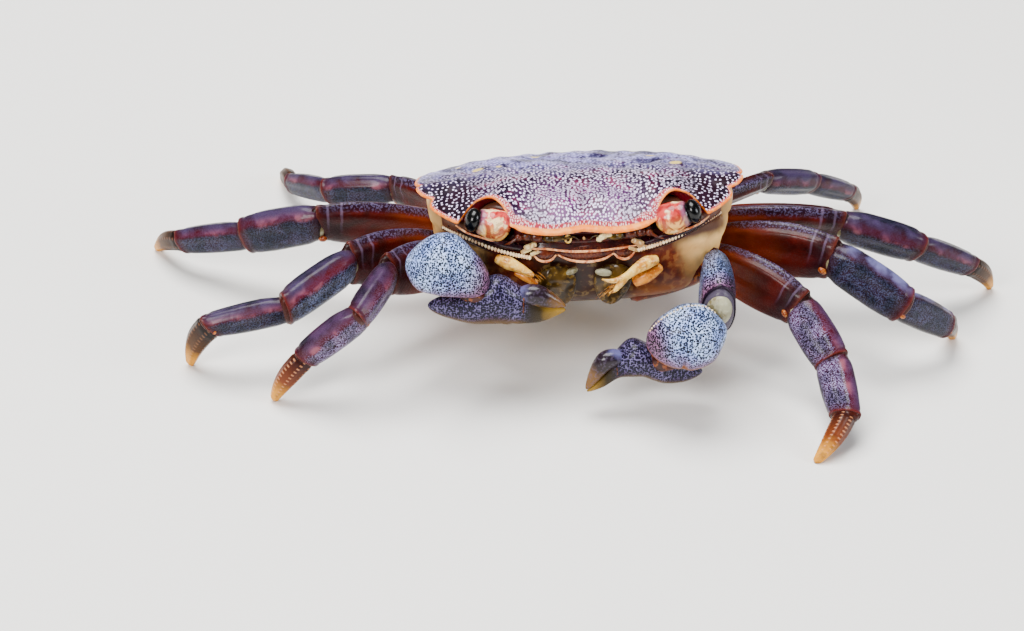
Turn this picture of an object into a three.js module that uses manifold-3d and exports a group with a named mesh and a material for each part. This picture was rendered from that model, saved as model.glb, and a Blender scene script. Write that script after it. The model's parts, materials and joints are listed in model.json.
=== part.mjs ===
// A purple shore crab (Hemigrapsus), life size, as a still museum model standing on eight feet.
// Millimetres, +Z up. The crab faces -Y, so its own right side is at -X.
//
// Two frames are used. The stand frame has its floor at Z = 0 and its origin under the middle of
// the shell's front edge. The body frame has its origin on that edge, +Y towards the tail and +Z
// square to the shell; one group pitches, rolls and lifts it onto the stand frame.
import * as THREE from 'three';
import { mergeVertices } from 'three/addons/utils/BufferGeometryUtils.js';
import Module from 'manifold-3d';

const wasm = await Module();
wasm.setup();

// ---------------------------------------------------------------- driving dimensions

const FRONT_HEIGHT = 16.6; // the shell's front edge above the floor
const BODY_PITCH = -16.5; // nose up, degrees
const BODY_ROLL = -5.2; // left side up, degrees
const BODY_YAW = 3.9; // turned towards its right, degrees

const SHELL_CROWN = 3.7; // top of the shell above its front edge
const SHELL_CENTRE_Y = 12.0; // the point that the outline is measured round
const SHELL_PLATE = 0.9; // thickness of the shell
const SHELL_FALL = 3.2; // power of the curve from the crown to the margin
const JOINT_GAP = 0.12; // clear space between two articles of a limb
const BODY_GAP = 0.25; // clear space between the shell and the body under it

const BODY_HALF_WIDTH = 13.9;
const BODY_FRONT_Y = 1.5;
const BODY_BACK_Y = 24.4;
const BODY_BOTTOM = -8.7;

const SIDES = { right: -1, left: 1 };

// Half of the shell's outline, from the middle of the front to the middle of the back, as
// stretches that meet at corners. Each point is [x, y, z] in the body frame.
const SHELL_OUTLINE = {
  frontalLobe: [[0, 0.2, 0.2], [3.0, -0.15, 0.0], [5.4, 0.1, 0.3], [6.7, 0.5, 0.7]],
  orbit: [[6.7, 0.5, 0.7], [7.2, 1.7, 2.1], [8.3, 2.45, 2.95], [9.8, 2.4, 2.6], [11.5, 1.25, 0.9]],
  firstTooth: [[11.5, 1.25, 0.9], [13.0, 3.1, 1.3], [13.95, 5.0, 1.75], [13.7, 5.75, 2.2]],
  secondTooth: [[13.7, 5.75, 2.2], [14.7, 6.4, 2.5], [15.2, 7.6, 2.85], [14.75, 8.6, 2.8]],
  thirdTooth: [[14.75, 8.6, 2.8], [15.25, 9.4, 2.8], [15.3, 10.4, 2.8]],
  flank: [
    [15.3, 10.4, 2.8], [14.9, 13.5, 2.6], [13.2, 17.6, 2.0], [10.4, 21.6, 1.0], [7.2, 24.6, 0.1],
  ],
  rear: [[7.2, 24.6, 0.1], [5.4, 25.4, -0.1], [0, 25.6, -0.2]],
};
const STRETCH_STEPS = {
  frontalLobe: 5, orbit: 7, firstTooth: 4, secondTooth: 4, thirdTooth: 2, flank: 5, rear: 3,
};

// Walking legs, front to back: the hip in the body frame, the lengths of merus, carpus, propodus
// and dactyl, and the greatest depth of each from its upper edge to its lower.
const WALKING_LEGS = [
  { hip: [11.0, 10.5, -5.2], lengths: [11.3, 6.0, 6.3, 5.5], depths: [4.9, 3.3, 3.2, 1.8] },
  { hip: [12.0, 14.0, -5.0], lengths: [12.6, 7.7, 6.9, 5.8], depths: [5.2, 3.6, 2.9, 1.8] },
  { hip: [11.5, 17.5, -3.7], lengths: [13.8, 7.6, 7.3, 5.9], depths: [5.0, 3.7, 2.9, 1.6] },
  { hip: [9.5, 20.5, -3.8], lengths: [10.8, 6.8, 6.4, 5.5], depths: [4.2, 2.9, 2.5, 1.5] },
];

// The stance. headings: each article's turn from straight out sideways, negative to the front.
// pitches: the rise of merus, carpus and propodus; the dactyl's own reaches the floor.
// leans: how far each article's upper edge tips to the front. All in degrees.
const STANCE = {
  right: [
    { headings: [-51, -67, -2, -8], pitches: [15, -14, -45], leans: [-8, 15, 35, 35] },
    { headings: [-40, -43, -9, 35], pitches: [11, -17, -14], leans: [-5, 15, 20, 10] },
    { headings: [-16, 15, 22, 52], pitches: [7.5, -23, -21], leans: [15, 15, 20, 20] },
    { headings: [38, 12, 50, 75], pitches: [-3.5, -13, -19], leans: [20, 20, 20, 10] },
  ],
  left: [
    { headings: [-32, -51, -78, -122], pitches: [-9, -31, -20], leans: [-8, -30, -50, -50] },
    { headings: [-20, -20, 35, 71], pitches: [7, -23, -33], leans: [-5, -10, -15, -15] },
    { headings: [2, 2, 30, 46], pitches: [1.5, -15, -28], leans: [30, 35, 35, 20] },
    { headings: [38, 41, 44, 66], pitches: [4, -18, -27], leans: [45, 45, 45, 20] },
  ],
};

// How each article of a walking leg swells: [start, middle, end] as parts of its greatest depth
// above and below the line between the joints, and of its thickness; peak is where it is deepest.
const ARTICLES = {
  merus: {
    above: [0.24, 0.56, 0.44], below: [0.22, 0.44, 0.38], thick: [0.32, 0.42, 0.38], peak: 0.62, steps: 5,
  },
  carpus: {
    above: [0.34, 0.54, 0.48], below: [0.32, 0.46, 0.44], thick: [0.52, 0.66, 0.6], peak: 0.68, steps: 4,
  },
  propodus: {
    above: [0.42, 0.52, 0.42], below: [0.42, 0.48, 0.4], thick: [0.6, 0.72, 0.6], peak: 0.4, steps: 4,
  },
  dactyl: {
    above: [0.5, 0.46, 0.15], below: [0.5, 0.42, 0.15], thick: [0.8, 0.74, 0.3], peak: 0.2, steps: 4,
  },
};
const DACTYL_BOW = 0.08; // arch of a dactyl, as a part of its length

// Chelipeds in the stand frame: joints and the half sizes of each article.
const CHELIPEDS = {
  right: {
    merus: { from: [-6.8, 1.0, 6.9], to: [-13.4, 0.4, 14.6], depth: 3.0 },
    carpus: { from: [-16.1, -2.3, 14.7], to: [-8.6, -3.4, 13.2], depth: 5.5, thick: 4.8 },
    neck: { from: [-12.4, -2.6, 12.6], to: [-12.8, -2.6, 10.4], depth: 2.2 },
    palm: { from: [-14.4, -2.7, 10.6], to: [-5.2, -2.4, 10.3], depth: 5.2, thick: 3.5 },
    fixedFinger: { from: [-6.4, -2.4, 9.0], to: [-1.5, -2.5, 9.5], depth: 2.6 },
    dactyl: { from: [-5.0, -2.4, 11.1], to: [-1.4, -2.5, 10.1], depth: 2.5, bow: 0.1 },
  },
  left: {
    merus: { from: [9.0, 4.6, 8.2], to: [13.2, -2.2, 12.7], depth: 3.3 },
    carpus: { from: [13.3, -4.2, 10.0], to: [5.9, -6.0, 8.6], depth: 6.2, thick: 4.8 },
    neck: { from: [9.8, -4.0, 7.2], to: [9.6, -2.6, 5.1], depth: 2.2 },
    palm: { from: [11.0, -1.9, 4.9], to: [3.9, -3.9, 5.5], depth: 4.6, thick: 3.3 },
    fixedFinger: { from: [4.9, -3.7, 4.1], to: [1.4, -4.9, 2.4], depth: 2.2 },
    dactyl: { from: [3.3, -4.2, 6.3], to: [1.1, -5.0, 2.7], depth: 2.1, bow: 0.2 },
  },
};

// ---------------------------------------------------------------- small tools

const vec = (p) => new THREE.Vector3(p[0], p[1], p[2]);
const rad = THREE.MathUtils.degToRad;
const mix = THREE.MathUtils.lerp;
const smooth = THREE.MathUtils.smoothstep;

function paint(color, roughness) {
  return new THREE.MeshStandardMaterial({ color, roughness, metalness: 0 });
}

const SHELL_PAINT = paint(0x4a3048, 0.35);
const BODY_PAINT = paint(0x8a6238, 0.5);
const LIMB_PAINT = paint(0x3b2f55, 0.32);
const MERUS_PAINT = paint(0x6b2418, 0.35);
const CLAW_PAINT = paint(0x6f83b8, 0.35);
const TIP_PAINT = paint(0x9c6428, 0.4);
const EYE_PAINT = paint(0x0c0a12, 0.08);
const STALK_PAINT = paint(0xd9a58c, 0.3);
const MOUTH_PAINT = paint(0xc79a4e, 0.45);

/** The value between start, middle and end at s, level where it passes the middle. */
function swell(s, [start, middle, end], peak) {
  if (s < peak) return mix(start, middle, Math.sin((Math.PI / 2) * (s / peak)));
  return mix(middle, end, 1 - Math.cos((Math.PI / 2) * ((s - peak) / (1 - peak))));
}

/** One closed body through rings of points that all turn the same way, capped at both ends. */
function loft(rings) {
  const count = rings[0].length;
  const sum = (ring) => ring.reduce((total, p) => total.add(p), new THREE.Vector3());
  const centres = [rings[0], rings.at(-1)].map((ring) => sum(ring).divideScalar(count));
  const points = [...rings.flat(), ...centres];
  const first = points.length - 2;
  const last = points.length - 1;
  const end = (rings.length - 1) * count;
  const index = [];
  for (let j = 0; j < count; j += 1) {
    const k = (j + 1) % count;
    index.push(first, k, j, last, end + j, end + k);
    for (let i = 0; i < end; i += count) {
      index.push(i + j, i + k, i + count + k, i + j, i + count + k, i + count + j);
    }
  }
  const geometry = new THREE.BufferGeometry().setFromPoints(points);
  geometry.setIndex(index);
  return geometry;
}

/** A closed geometry as a manifold-3d solid. */
function toSolid(geometry) {
  const bare = geometry.clone();
  bare.deleteAttribute('normal');
  bare.deleteAttribute('uv');
  const merged = mergeVertices(bare, 1e-4);
  return new wasm.Manifold(new wasm.Mesh({
    numProp: 3,
    vertProperties: new Float32Array(merged.attributes.position.array),
    triVerts: new Uint32Array(merged.index.array),
  }));
}

/** A manifold-3d solid back as a geometry. */
function toGeometry(solid) {
  const mesh = solid.getMesh();
  const geometry = new THREE.BufferGeometry();
  const positions = new Float32Array(mesh.vertProperties);
  geometry.setAttribute('position', new THREE.BufferAttribute(positions, 3));
  geometry.setIndex(new THREE.BufferAttribute(new Uint32Array(mesh.triVerts), 1));
  return geometry;
}

/**
 * A limb article between two joints, in its own frame: X along it, Z to its upper edge.
 * above, below and half are functions of s from 0 to 1; startPlane and endPlane are planes in
 * that frame which trim the ends, so that neighbours meet face to face.
 */
function article({ length, above, below, half, bow, steps, sides, startPlane, endPlane }) {
  const rings = [];
  const along = new THREE.Vector3(1, 0, 0);
  const slide = (p, plane) => -(plane.normal.dot(p) + plane.constant) / plane.normal.dot(along);
  for (let i = 0; i <= steps; i += 1) {
    const s = i / steps;
    const ring = [];
    for (let j = 0; j < sides; j += 1) {
      const turn = (2 * Math.PI * j) / sides;
      const up = Math.cos(turn);
      const rise = up > 0 ? above(s) : below(s);
      const lift = bow * length * 4 * s * (1 - s);
      const p = new THREE.Vector3(s * length, -Math.sin(turn) * half(s), up * rise + lift);
      const toStart = startPlane ? slide(new THREE.Vector3(0, p.y, p.z), startPlane) : 0;
      const toEnd = endPlane ? slide(new THREE.Vector3(length, p.y, p.z), endPlane) : 0;
      p.x += toStart * (1 - s) ** 2 + toEnd * s ** 2;
      ring.push(p);
    }
    rings.push(ring);
  }
  return loft(rings);
}

/** The frame of an article: X from one joint to the next, Z towards its upper edge. */
function articleFrame(from, to, lean, side) {
  const axis = to.clone().sub(from).normalize();
  const up = new THREE.Vector3(0, 0, 1);
  up.addScaledVector(axis, -axis.z).normalize();
  const front = axis.clone().cross(up).multiplyScalar(side);
  const upper = up.multiplyScalar(Math.cos(rad(lean))).addScaledVector(front, Math.sin(rad(lean)));
  const across = upper.clone().cross(axis);
  return new THREE.Matrix4().makeBasis(axis, across, upper).setPosition(from);
}

function addMesh(group, name, geometry, material, matrix) {
  const mesh = new THREE.Mesh(geometry, material);
  mesh.name = name;
  if (matrix) matrix.decompose(mesh.position, mesh.quaternion, mesh.scale);
  group.add(mesh);
  return mesh;
}

// ---------------------------------------------------------------- shell and body

/** Half of the shell's margin as points, from the middle of the front to the middle of the back. */
function halfMargin() {
  const points = [];
  for (const [stretch, corners] of Object.entries(SHELL_OUTLINE)) {
    const curve = new THREE.CatmullRomCurve3(corners.map(vec), false, 'centripetal');
    points.push(...curve.getPoints(STRETCH_STEPS[stretch]).slice(0, -1));
  }
  points.push(vec(SHELL_OUTLINE.rear.at(-1)));
  return points;
}

/** The whole margin, turning from the front through the right side (-X). */
function margin() {
  const half = halfMargin();
  const mirrored = half.map((p) => new THREE.Vector3(-p.x, p.y, p.z));
  return [...mirrored, ...half.slice(1, -1).reverse()];
}

// Where the rings of the shell's two faces lie, as parts of the way from the crown to the margin.
const UPPER_RINGS = [0.35, 0.65, 0.84, 0.95, 1.0];
const UNDER_RINGS = [0.4, 0.75, 0.92];

/** A point of the shell's upper face: part 0 is its crown and 1 is its margin. */
function shellPoint(edge, part) {
  const x = edge.x * part;
  const y = mix(SHELL_CENTRE_Y, edge.y, part);
  const z = mix(SHELL_CROWN, edge.z, part ** SHELL_FALL);
  return new THREE.Vector3(x, y, z);
}

function shellGeometry() {
  const edges = margin();
  const lowered = (p, by) => new THREE.Vector3(p.x, p.y, p.z - by);
  const upper = UPPER_RINGS.map((part) => edges.map((e) => shellPoint(e, part)));
  const rim = edges.map((e) => lowered(shellPoint(e, 0.985), SHELL_PLATE / 2));
  const lower = UNDER_RINGS.toReversed().map((part) => (
    edges.map((e) => lowered(shellPoint(e, part), SHELL_PLATE))
  ));
  return loft([...upper, rim, ...lower]);
}

/** The body's wall, a rounded outline about the shell's centre, in the direction of an edge. */
function bodyWall(edge, scale) {
  const dx = edge.x;
  const dy = edge.y - SHELL_CENTRE_Y;
  const reach = dy < 0 ? SHELL_CENTRE_Y - BODY_FRONT_Y : BODY_BACK_Y - SHELL_CENTRE_Y;
  const power = dy < 0 ? 3.0 : 2.3;
  const size = (Math.abs(dx / BODY_HALF_WIDTH) ** power + Math.abs(dy / reach) ** power) ** (-1 / power);
  return new THREE.Vector3(dx * size * scale, SHELL_CENTRE_Y + dy * size * scale, 0);
}

// Levels of the body from under the shell down to the breastplate: the height and the part of the
// outline, at the face and at the flanks, where the wall is cut in above the legs.
const BODY_LEVELS = [
  { face: [-0.7, 1.0], flank: [-0.9, 1.0] },
  { face: [-2.3, 1.0], flank: [-2.5, 0.97] },
  { face: [-3.4, 0.985], flank: [-3.1, 0.72] },
  { face: [-4.9, 0.95], flank: [-6.2, 0.68] },
  { face: [-6.9, 0.86], flank: [-8.2, 0.52] },
];

const FLANK_TURN = [rad(64), rad(78)]; // where the face passes into the flank, round from the front

/** The body under the shell; grow is a plate's thickness added all round it. */
function bodyGeometry(grow) {
  const edges = margin().filter((_, i) => i % 2 === 0);
  const under = SHELL_PLATE + BODY_GAP - grow;
  const rings = UNDER_RINGS.map((part) => edges.map((e) => {
    const p = shellPoint(e, part);
    return p.setZ(p.z - under);
  }));
  rings.push(edges.map((e) => {
    const p = shellPoint(e, UNDER_RINGS.at(-1));
    return p.setZ(mix(p.z - under, BODY_LEVELS[0].face[0], 0.85));
  }));
  for (const level of BODY_LEVELS) {
    const deeper = level === BODY_LEVELS.at(-1) ? grow : 0;
    rings.push(edges.map((e) => {
      const turn = Math.atan2(Math.abs(e.x), SHELL_CENTRE_Y - e.y);
      const flank = smooth(turn, FLANK_TURN[0], FLANK_TURN[1]);
      const p = bodyWall(e, mix(level.face[1], level.flank[1], flank));
      const out = p.clone().setY(p.y - SHELL_CENTRE_Y).setLength(grow);
      return p.add(out).setZ(mix(level.face[0], level.flank[0], flank) - deeper);
    }));
  }
  rings.push(edges.map((e) => bodyWall(e, 0.3).setZ(BODY_BOTTOM - grow)));
  return loft(rings);
}

/** A plate that lies on the body: what of its outer layer falls within a solid. */
function bodyPlate(region, near, far) {
  const layer = toSolid(bodyGeometry(far)).subtract(toSolid(bodyGeometry(near)));
  return layer.intersect(region);
}

/** A prism through the body along Y, from an outline of [x, z] points. */
function frontPrism(outline, fromY, toY) {
  const shape = new THREE.Shape(outline.map(([x, z]) => new THREE.Vector2(x, z)));
  const geometry = new THREE.ExtrudeGeometry(shape, { depth: toY - fromY, bevelEnabled: false });
  geometry.rotateX(Math.PI / 2);
  geometry.translate(0, toY, 0);
  return toSolid(geometry);
}

/** A prism through the body along Z, from an outline of [x, y] points. */
function floorPrism(outline, fromZ, toZ) {
  const shape = new THREE.Shape(outline.map(([x, y]) => new THREE.Vector2(x, y)));
  const geometry = new THREE.ExtrudeGeometry(shape, { depth: toZ - fromZ, bevelEnabled: false });
  geometry.translate(0, 0, fromZ);
  return toSolid(geometry);
}

/** An outline and its mirror image across X = 0, as one closed loop. */
function mirrorOutline(half) {
  return [...half, ...half.slice().reverse().map(([x, z]) => [-x, z])];
}

/** A plain round stub between two points, used for the short first articles of the limbs. */
function stub(from, to, radiusFrom, radiusTo) {
  const length = from.distanceTo(to);
  const radius = (s) => mix(radiusFrom, radiusTo, s);
  const geometry = article({ length, above: radius, below: radius, half: radius, bow: 0, steps: 1, sides: 8 });
  geometry.applyMatrix4(articleFrame(from, to, 0, 1));
  return toSolid(geometry);
}

/** The body with the short first articles of its ten limbs, in the body frame. */
function thoraxSolid(body, grow) {
  let thorax = toSolid(bodyGeometry(grow));
  const join = (root, hip, radii) => {
    const stop = hip.clone().sub(root).setLength(hip.distanceTo(root) + grow).add(root);
    thorax = thorax.add(stub(root, stop, radii[0] + grow, radii[1] + grow));
  };
  for (const [name, side] of Object.entries(SIDES)) {
    for (const leg of WALKING_LEGS) {
      const hip = vec(leg.hip).multiply(new THREE.Vector3(side, 1, 1));
      const root = new THREE.Vector3(side * 5.5, mix(hip.y, SHELL_CENTRE_Y, 0.3), hip.z - 0.9);
      join(root, hip, [1.5, 1.15]);
    }
    const hip = body.worldToLocal(vec(CHELIPEDS[name].merus.from));
    join(new THREE.Vector3(side * 4.6, 5.6, -6.6), hip, [1.7, 1.3]);
  }
  return thorax;
}

// Halves of outlines in the body frame: the lip over the mouth and a jaw as [x, z], and the tail
// folded under the body as [x, y].
const EPISTOME = [
  [0, -1.55], [5.4, -1.35], [6.2, -1.9], [5.4, -2.75], [4.2, -3.05], [3.3, -2.7], [1.5, -3.3],
];
const JAW = [
  [0.5, -3.7], [1.9, -3.5], [3.9, -3.5], [4.5, -4.6], [4.0, -6.2], [3.4, -8.0], [1.4, -8.0], [0.9, -6.0],
];
const ABDOMEN = [[1.1, 8.6], [2.2, 11.5], [3.4, 15.0], [4.6, 19.0], [5.0, 25.5]];

function buildBody(body) {
  addMesh(body, 'carapace', shellGeometry(), SHELL_PAINT);
  addMesh(body, 'thorax', toGeometry(thoraxSolid(body, 0)), BODY_PAINT);

  const lip = bodyPlate(frontPrism(mirrorOutline(EPISTOME), -1, 4), JOINT_GAP, 0.55);
  addMesh(body, 'epistome', toGeometry(lip), MOUTH_PAINT);
  const flap = bodyPlate(floorPrism(mirrorOutline(ABDOMEN), -12, -2.2), JOINT_GAP, 0.62);
  addMesh(body, 'abdomen', toGeometry(flap), BODY_PAINT);
}

// ---------------------------------------------------------------- face

const STALK_RADII = [0.75, 1.12, 0.7];
const CORNEA_RADII = [0.5, 0.74, 0.74];
const ANTENNULE_RADII = [0.95, 0.42, 0.42];
const ANTENNA_RADII = [0.5, 0.42, 0.26];
const PALP_RADII = [0.5, 0.68, 0.5];
const PALP_TIP_RADII = [0.45, 0.38, 0.25];

function ellipsoid(radii) {
  const geometry = new THREE.SphereGeometry(1, 10, 6);
  geometry.scale(...radii);
  return geometry;
}

/** A round body between two points, with its radii at the start, the middle and the end. */
function taper(from, to, radii, { peak = 0.4, steps = 4, sides = 8, bow = 0 }) {
  const length = from.distanceTo(to);
  const radius = (s) => swell(s, radii, peak);
  const geometry = article({ length, above: radius, below: radius, half: radius, steps, sides, bow });
  geometry.applyMatrix4(articleFrame(from, to, 0, 1));
  return geometry;
}

function buildFace(body) {
  for (const [name, side] of Object.entries(SIDES)) {
    const at = (x, y, z) => new THREE.Vector3(side * x, y, z);
    const stalk = taper(at(6.9, 1.6, 0.0), at(9.8, 1.2, 0.72), STALK_RADII, { steps: 5, sides: 10 });
    addMesh(body, `eyestalk_${name}`, stalk, STALK_PAINT);

    const cornea = addMesh(body, `cornea_${name}`, ellipsoid(CORNEA_RADII), EYE_PAINT);
    cornea.position.copy(at(10.42, 1.15, 0.9));

    const antennule = addMesh(body, `antennule_${name}`, ellipsoid(ANTENNULE_RADII), MOUTH_PAINT);
    antennule.position.copy(at(1.6, 0.58, -0.8));
    antennule.rotation.y = rad(-8 * side);

    const antenna = taper(at(4.0, 0.6, -0.8), at(6.9, 0.0, -1.0), ANTENNA_RADII, { peak: 0.15, bow: 0.06 });
    addMesh(body, `antenna_${name}`, antenna, MOUTH_PAINT);

    const outline = JAW.map(([x, z]) => [side * x, z]);
    const plate = bodyPlate(frontPrism(outline, -1, 5), JOINT_GAP, 0.8);
    addMesh(body, `maxilliped_${name}`, toGeometry(plate), BODY_PAINT);
  }

  const palps = {
    right: { base: [-7.6, 1.0, -2.7], joint: [-5.7, 0.7, -3.5], tips: [[-4.5, 0.4, -4.1]] },
    left: { base: [6.0, 0.1, -3.3], joint: [3.5, -0.6, -4.9], tips: [[1.8, -1.0, -4.7], [2.4, -1.0, -5.8]] },
  };
  for (const [name, palp] of Object.entries(palps)) {
    const knuckle = vec(palp.joint).lerp(vec(palp.base), 0.12);
    let solid = toSolid(taper(vec(palp.base), vec(palp.joint), PALP_RADII, { peak: 0.5 }));
    for (const tip of palp.tips) {
      solid = solid.add(toSolid(taper(knuckle, vec(tip), PALP_TIP_RADII, { steps: 2 })));
    }
    addMesh(body, `palp_${name}`, toGeometry(solid), MOUTH_PAINT);
  }
}

// ---------------------------------------------------------------- walking legs

/** An article's geometry less a solid of the stand frame, still in the article's own frame. */
function carve(geometry, frame, solid) {
  const placed = toSolid(geometry.applyMatrix4(frame)).subtract(solid);
  return toGeometry(placed).applyMatrix4(frame.clone().invert());
}

/** The joints of a leg in the stand frame, from the hip to the foot on the floor. */
function legJoints(hip, lengths, stance, side) {
  const joints = [hip];
  lengths.forEach((length, i) => {
    const from = joints[i];
    const heading = rad(stance.headings[i]);
    const pitch = i < 3 ? rad(stance.pitches[i]) : -Math.asin(from.z / length);
    const step = new THREE.Vector3(side * Math.cos(heading), Math.sin(heading), Math.tan(pitch));
    joints.push(step.setLength(length).add(from));
  });
  return joints;
}

/** The plane that halves the bend at a joint, drawn back by half the gap, in an article's frame. */
function mitre(joint, before, after, frame, facing) {
  const normal = before.clone().normalize().add(after.clone().normalize()).normalize();
  const shift = normal.clone().multiplyScalar((facing * JOINT_GAP) / 2);
  const plane = new THREE.Plane().setFromNormalAndCoplanarPoint(normal, joint.clone().add(shift));
  return plane.applyMatrix4(frame.clone().invert());
}

function buildLeg(crab, name, leg, stance, side, body, bodyClear) {
  const hip = body.localToWorld(vec(leg.hip).multiply(new THREE.Vector3(side, 1, 1)));
  const joints = legJoints(hip, leg.lengths, stance, side);
  const steps = joints.slice(1).map((p, i) => p.clone().sub(joints[i]));
  Object.entries(ARTICLES).forEach(([part, shape], i) => {
    const frame = articleFrame(joints[i], joints[i + 1], stance.leans[i], side);
    const depth = leg.depths[i];
    const startPlane = i > 0 ? mitre(joints[i], steps[i - 1], steps[i], frame, 1) : undefined;
    const floor = new THREE.Plane(new THREE.Vector3(0, 0, 1), 0).applyMatrix4(frame.clone().invert());
    const endPlane = i < 3 ? mitre(joints[i + 1], steps[i], steps[i + 1], frame, -1) : floor;
    let geometry = article({
      length: leg.lengths[i],
      above: (s) => depth * swell(s, shape.above, shape.peak),
      below: (s) => depth * swell(s, shape.below, shape.peak),
      half: (s) => (depth / 2) * swell(s, shape.thick, shape.peak),
      bow: part === 'dactyl' ? DACTYL_BOW : 0,
      steps: shape.steps,
      sides: part === 'dactyl' ? 8 : 10,
      startPlane,
      endPlane,
    });
    if (part === 'merus') geometry = carve(geometry, frame, bodyClear);
    const colour = { merus: MERUS_PAINT, dactyl: TIP_PAINT }[part] ?? LIMB_PAINT;
    addMesh(crab, `${name}_${part}`, geometry, colour, frame);
  });
}

// ---------------------------------------------------------------- chelipeds

/** A rounded cheliped article as a solid in the stand frame; grow swells it all round. */
function clawSolid(part, shape, side, grow) {
  const from = vec(part.from);
  const to = vec(part.to);
  const half = part.depth / 2;
  const thick = (part.thick ?? part.depth * 0.8) / 2;
  const geometry = article({
    length: from.distanceTo(to),
    above: (s) => half * swell(s, shape.above, shape.peak) + grow,
    below: (s) => half * swell(s, shape.below, shape.peak) + grow,
    half: (s) => thick * swell(s, shape.thick, shape.peak) + grow,
    bow: part.bow ?? 0,
    steps: shape.steps,
    sides: 10,
  });
  geometry.applyMatrix4(articleFrame(from, to, 0, side));
  return toSolid(geometry);
}

// As ARTICLES, but as parts of half the depth and half the thickness.
const CLAW_SHAPES = {
  merus: { above: [0.7, 1, 0.95], below: [0.7, 1, 0.95], thick: [0.75, 1, 0.95], peak: 0.6, steps: 5 },
  carpus: { above: [0.35, 1, 0.2], below: [0.35, 1, 0.35], thick: [0.35, 1, 0.4], peak: 0.36, steps: 8 },
  neck: { above: [0.9, 0.9, 0.9], below: [0.9, 0.9, 0.9], thick: [1, 1, 1], peak: 0.5, steps: 1 },
  palm: { above: [0.35, 1.08, 0.75], below: [0.35, 0.95, 0.85], thick: [0.4, 1, 0.75], peak: 0.72, steps: 7 },
  fixedFinger: {
    above: [0.95, 0.75, 0.25], below: [0.95, 0.8, 0.25], thick: [1, 0.8, 0.35], peak: 0.45, steps: 4,
  },
  dactyl: { above: [0.8, 0.85, 0.25], below: [0.8, 0.75, 0.25], thick: [1, 0.85, 0.35], peak: 0.3, steps: 5 },
};

function buildCheliped(crab, name, parts, side, bodyClear) {
  const solid = (part, grow) => clawSolid(parts[part], CLAW_SHAPES[part], side, grow);
  const carpus = solid('carpus', 0);
  const carpusClear = solid('carpus', JOINT_GAP);
  const dactyl = solid('dactyl', 0);
  const dactylClear = solid('dactyl', JOINT_GAP);
  const merus = solid('merus', 0).subtract(carpusClear).subtract(bodyClear);
  const hand = solid('palm', 0).add(solid('fixedFinger', 0)).add(solid('neck', 0));
  const palm = hand.subtract(carpusClear).subtract(dactylClear);
  addMesh(crab, `cheliped_${name}_merus`, toGeometry(merus), MERUS_PAINT);
  addMesh(crab, `cheliped_${name}_carpus`, toGeometry(carpus), CLAW_PAINT);
  addMesh(crab, `cheliped_${name}_palm`, toGeometry(palm), CLAW_PAINT);
  addMesh(crab, `cheliped_${name}_dactyl`, toGeometry(dactyl), TIP_PAINT);
}

// ---------------------------------------------------------------- the crab

function buildCrab() {
  const crab = new THREE.Group();
  const body = new THREE.Group();
  body.position.set(0, 0, FRONT_HEIGHT);
  body.rotation.set(rad(BODY_PITCH), rad(BODY_ROLL), rad(BODY_YAW), 'ZYX');
  crab.add(body);
  crab.updateMatrixWorld(true);

  buildBody(body);
  buildFace(body);
  const bodyClear = toSolid(toGeometry(thoraxSolid(body, JOINT_GAP)).applyMatrix4(body.matrixWorld));
  for (const [name, side] of Object.entries(SIDES)) {
    buildCheliped(crab, name, CHELIPEDS[name], side, bodyClear);
    WALKING_LEGS.forEach((leg, i) => {
      buildLeg(crab, `leg${i + 1}_${name}`, leg, STANCE[name][i], side, body, bodyClear);
    });
  }

  const box = new THREE.Box3().setFromObject(crab, true);
  const middle = box.getCenter(new THREE.Vector3());
  crab.position.set(-middle.x, -middle.y, -box.min.z);
  return crab;
}

export default buildCrab();
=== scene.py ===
"""A purple shore crab (Hemigrapsus) as a life-size still model, standing on eight feet."""
import functools
import json
import logging
import math
import random
from dataclasses import dataclass, field
from enum import Enum
from typing import Callable, Iterable, Sequence

import bmesh
import bpy
from mathutils import Matrix, Vector

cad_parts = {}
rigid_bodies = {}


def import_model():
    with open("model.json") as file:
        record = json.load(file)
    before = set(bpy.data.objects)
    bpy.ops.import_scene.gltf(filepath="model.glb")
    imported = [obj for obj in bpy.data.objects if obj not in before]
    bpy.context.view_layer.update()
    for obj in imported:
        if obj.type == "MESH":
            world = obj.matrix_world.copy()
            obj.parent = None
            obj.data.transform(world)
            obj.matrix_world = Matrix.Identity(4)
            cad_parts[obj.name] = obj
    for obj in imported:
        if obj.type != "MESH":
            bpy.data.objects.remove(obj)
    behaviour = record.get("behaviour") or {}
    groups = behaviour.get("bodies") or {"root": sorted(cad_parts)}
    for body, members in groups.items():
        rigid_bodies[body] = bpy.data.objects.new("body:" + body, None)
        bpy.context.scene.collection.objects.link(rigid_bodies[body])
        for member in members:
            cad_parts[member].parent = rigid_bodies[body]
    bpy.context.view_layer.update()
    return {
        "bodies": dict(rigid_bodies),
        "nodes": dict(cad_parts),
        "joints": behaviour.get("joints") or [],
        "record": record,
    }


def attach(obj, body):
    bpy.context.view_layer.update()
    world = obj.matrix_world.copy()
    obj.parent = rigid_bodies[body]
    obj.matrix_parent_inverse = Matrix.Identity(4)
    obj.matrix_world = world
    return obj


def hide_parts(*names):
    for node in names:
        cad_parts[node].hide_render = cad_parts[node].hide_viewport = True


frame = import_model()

LOG = logging.getLogger("crab")
MM = 0.001
TAU = 2 * math.pi
SPECULAR = 0.13
HAIR_SEED = 7

Socket = bpy.types.NodeSocket
Point = tuple[float, float, float]
Place = Callable[[float, float], Vector]
Mark = Callable[[float, float], float]


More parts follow.
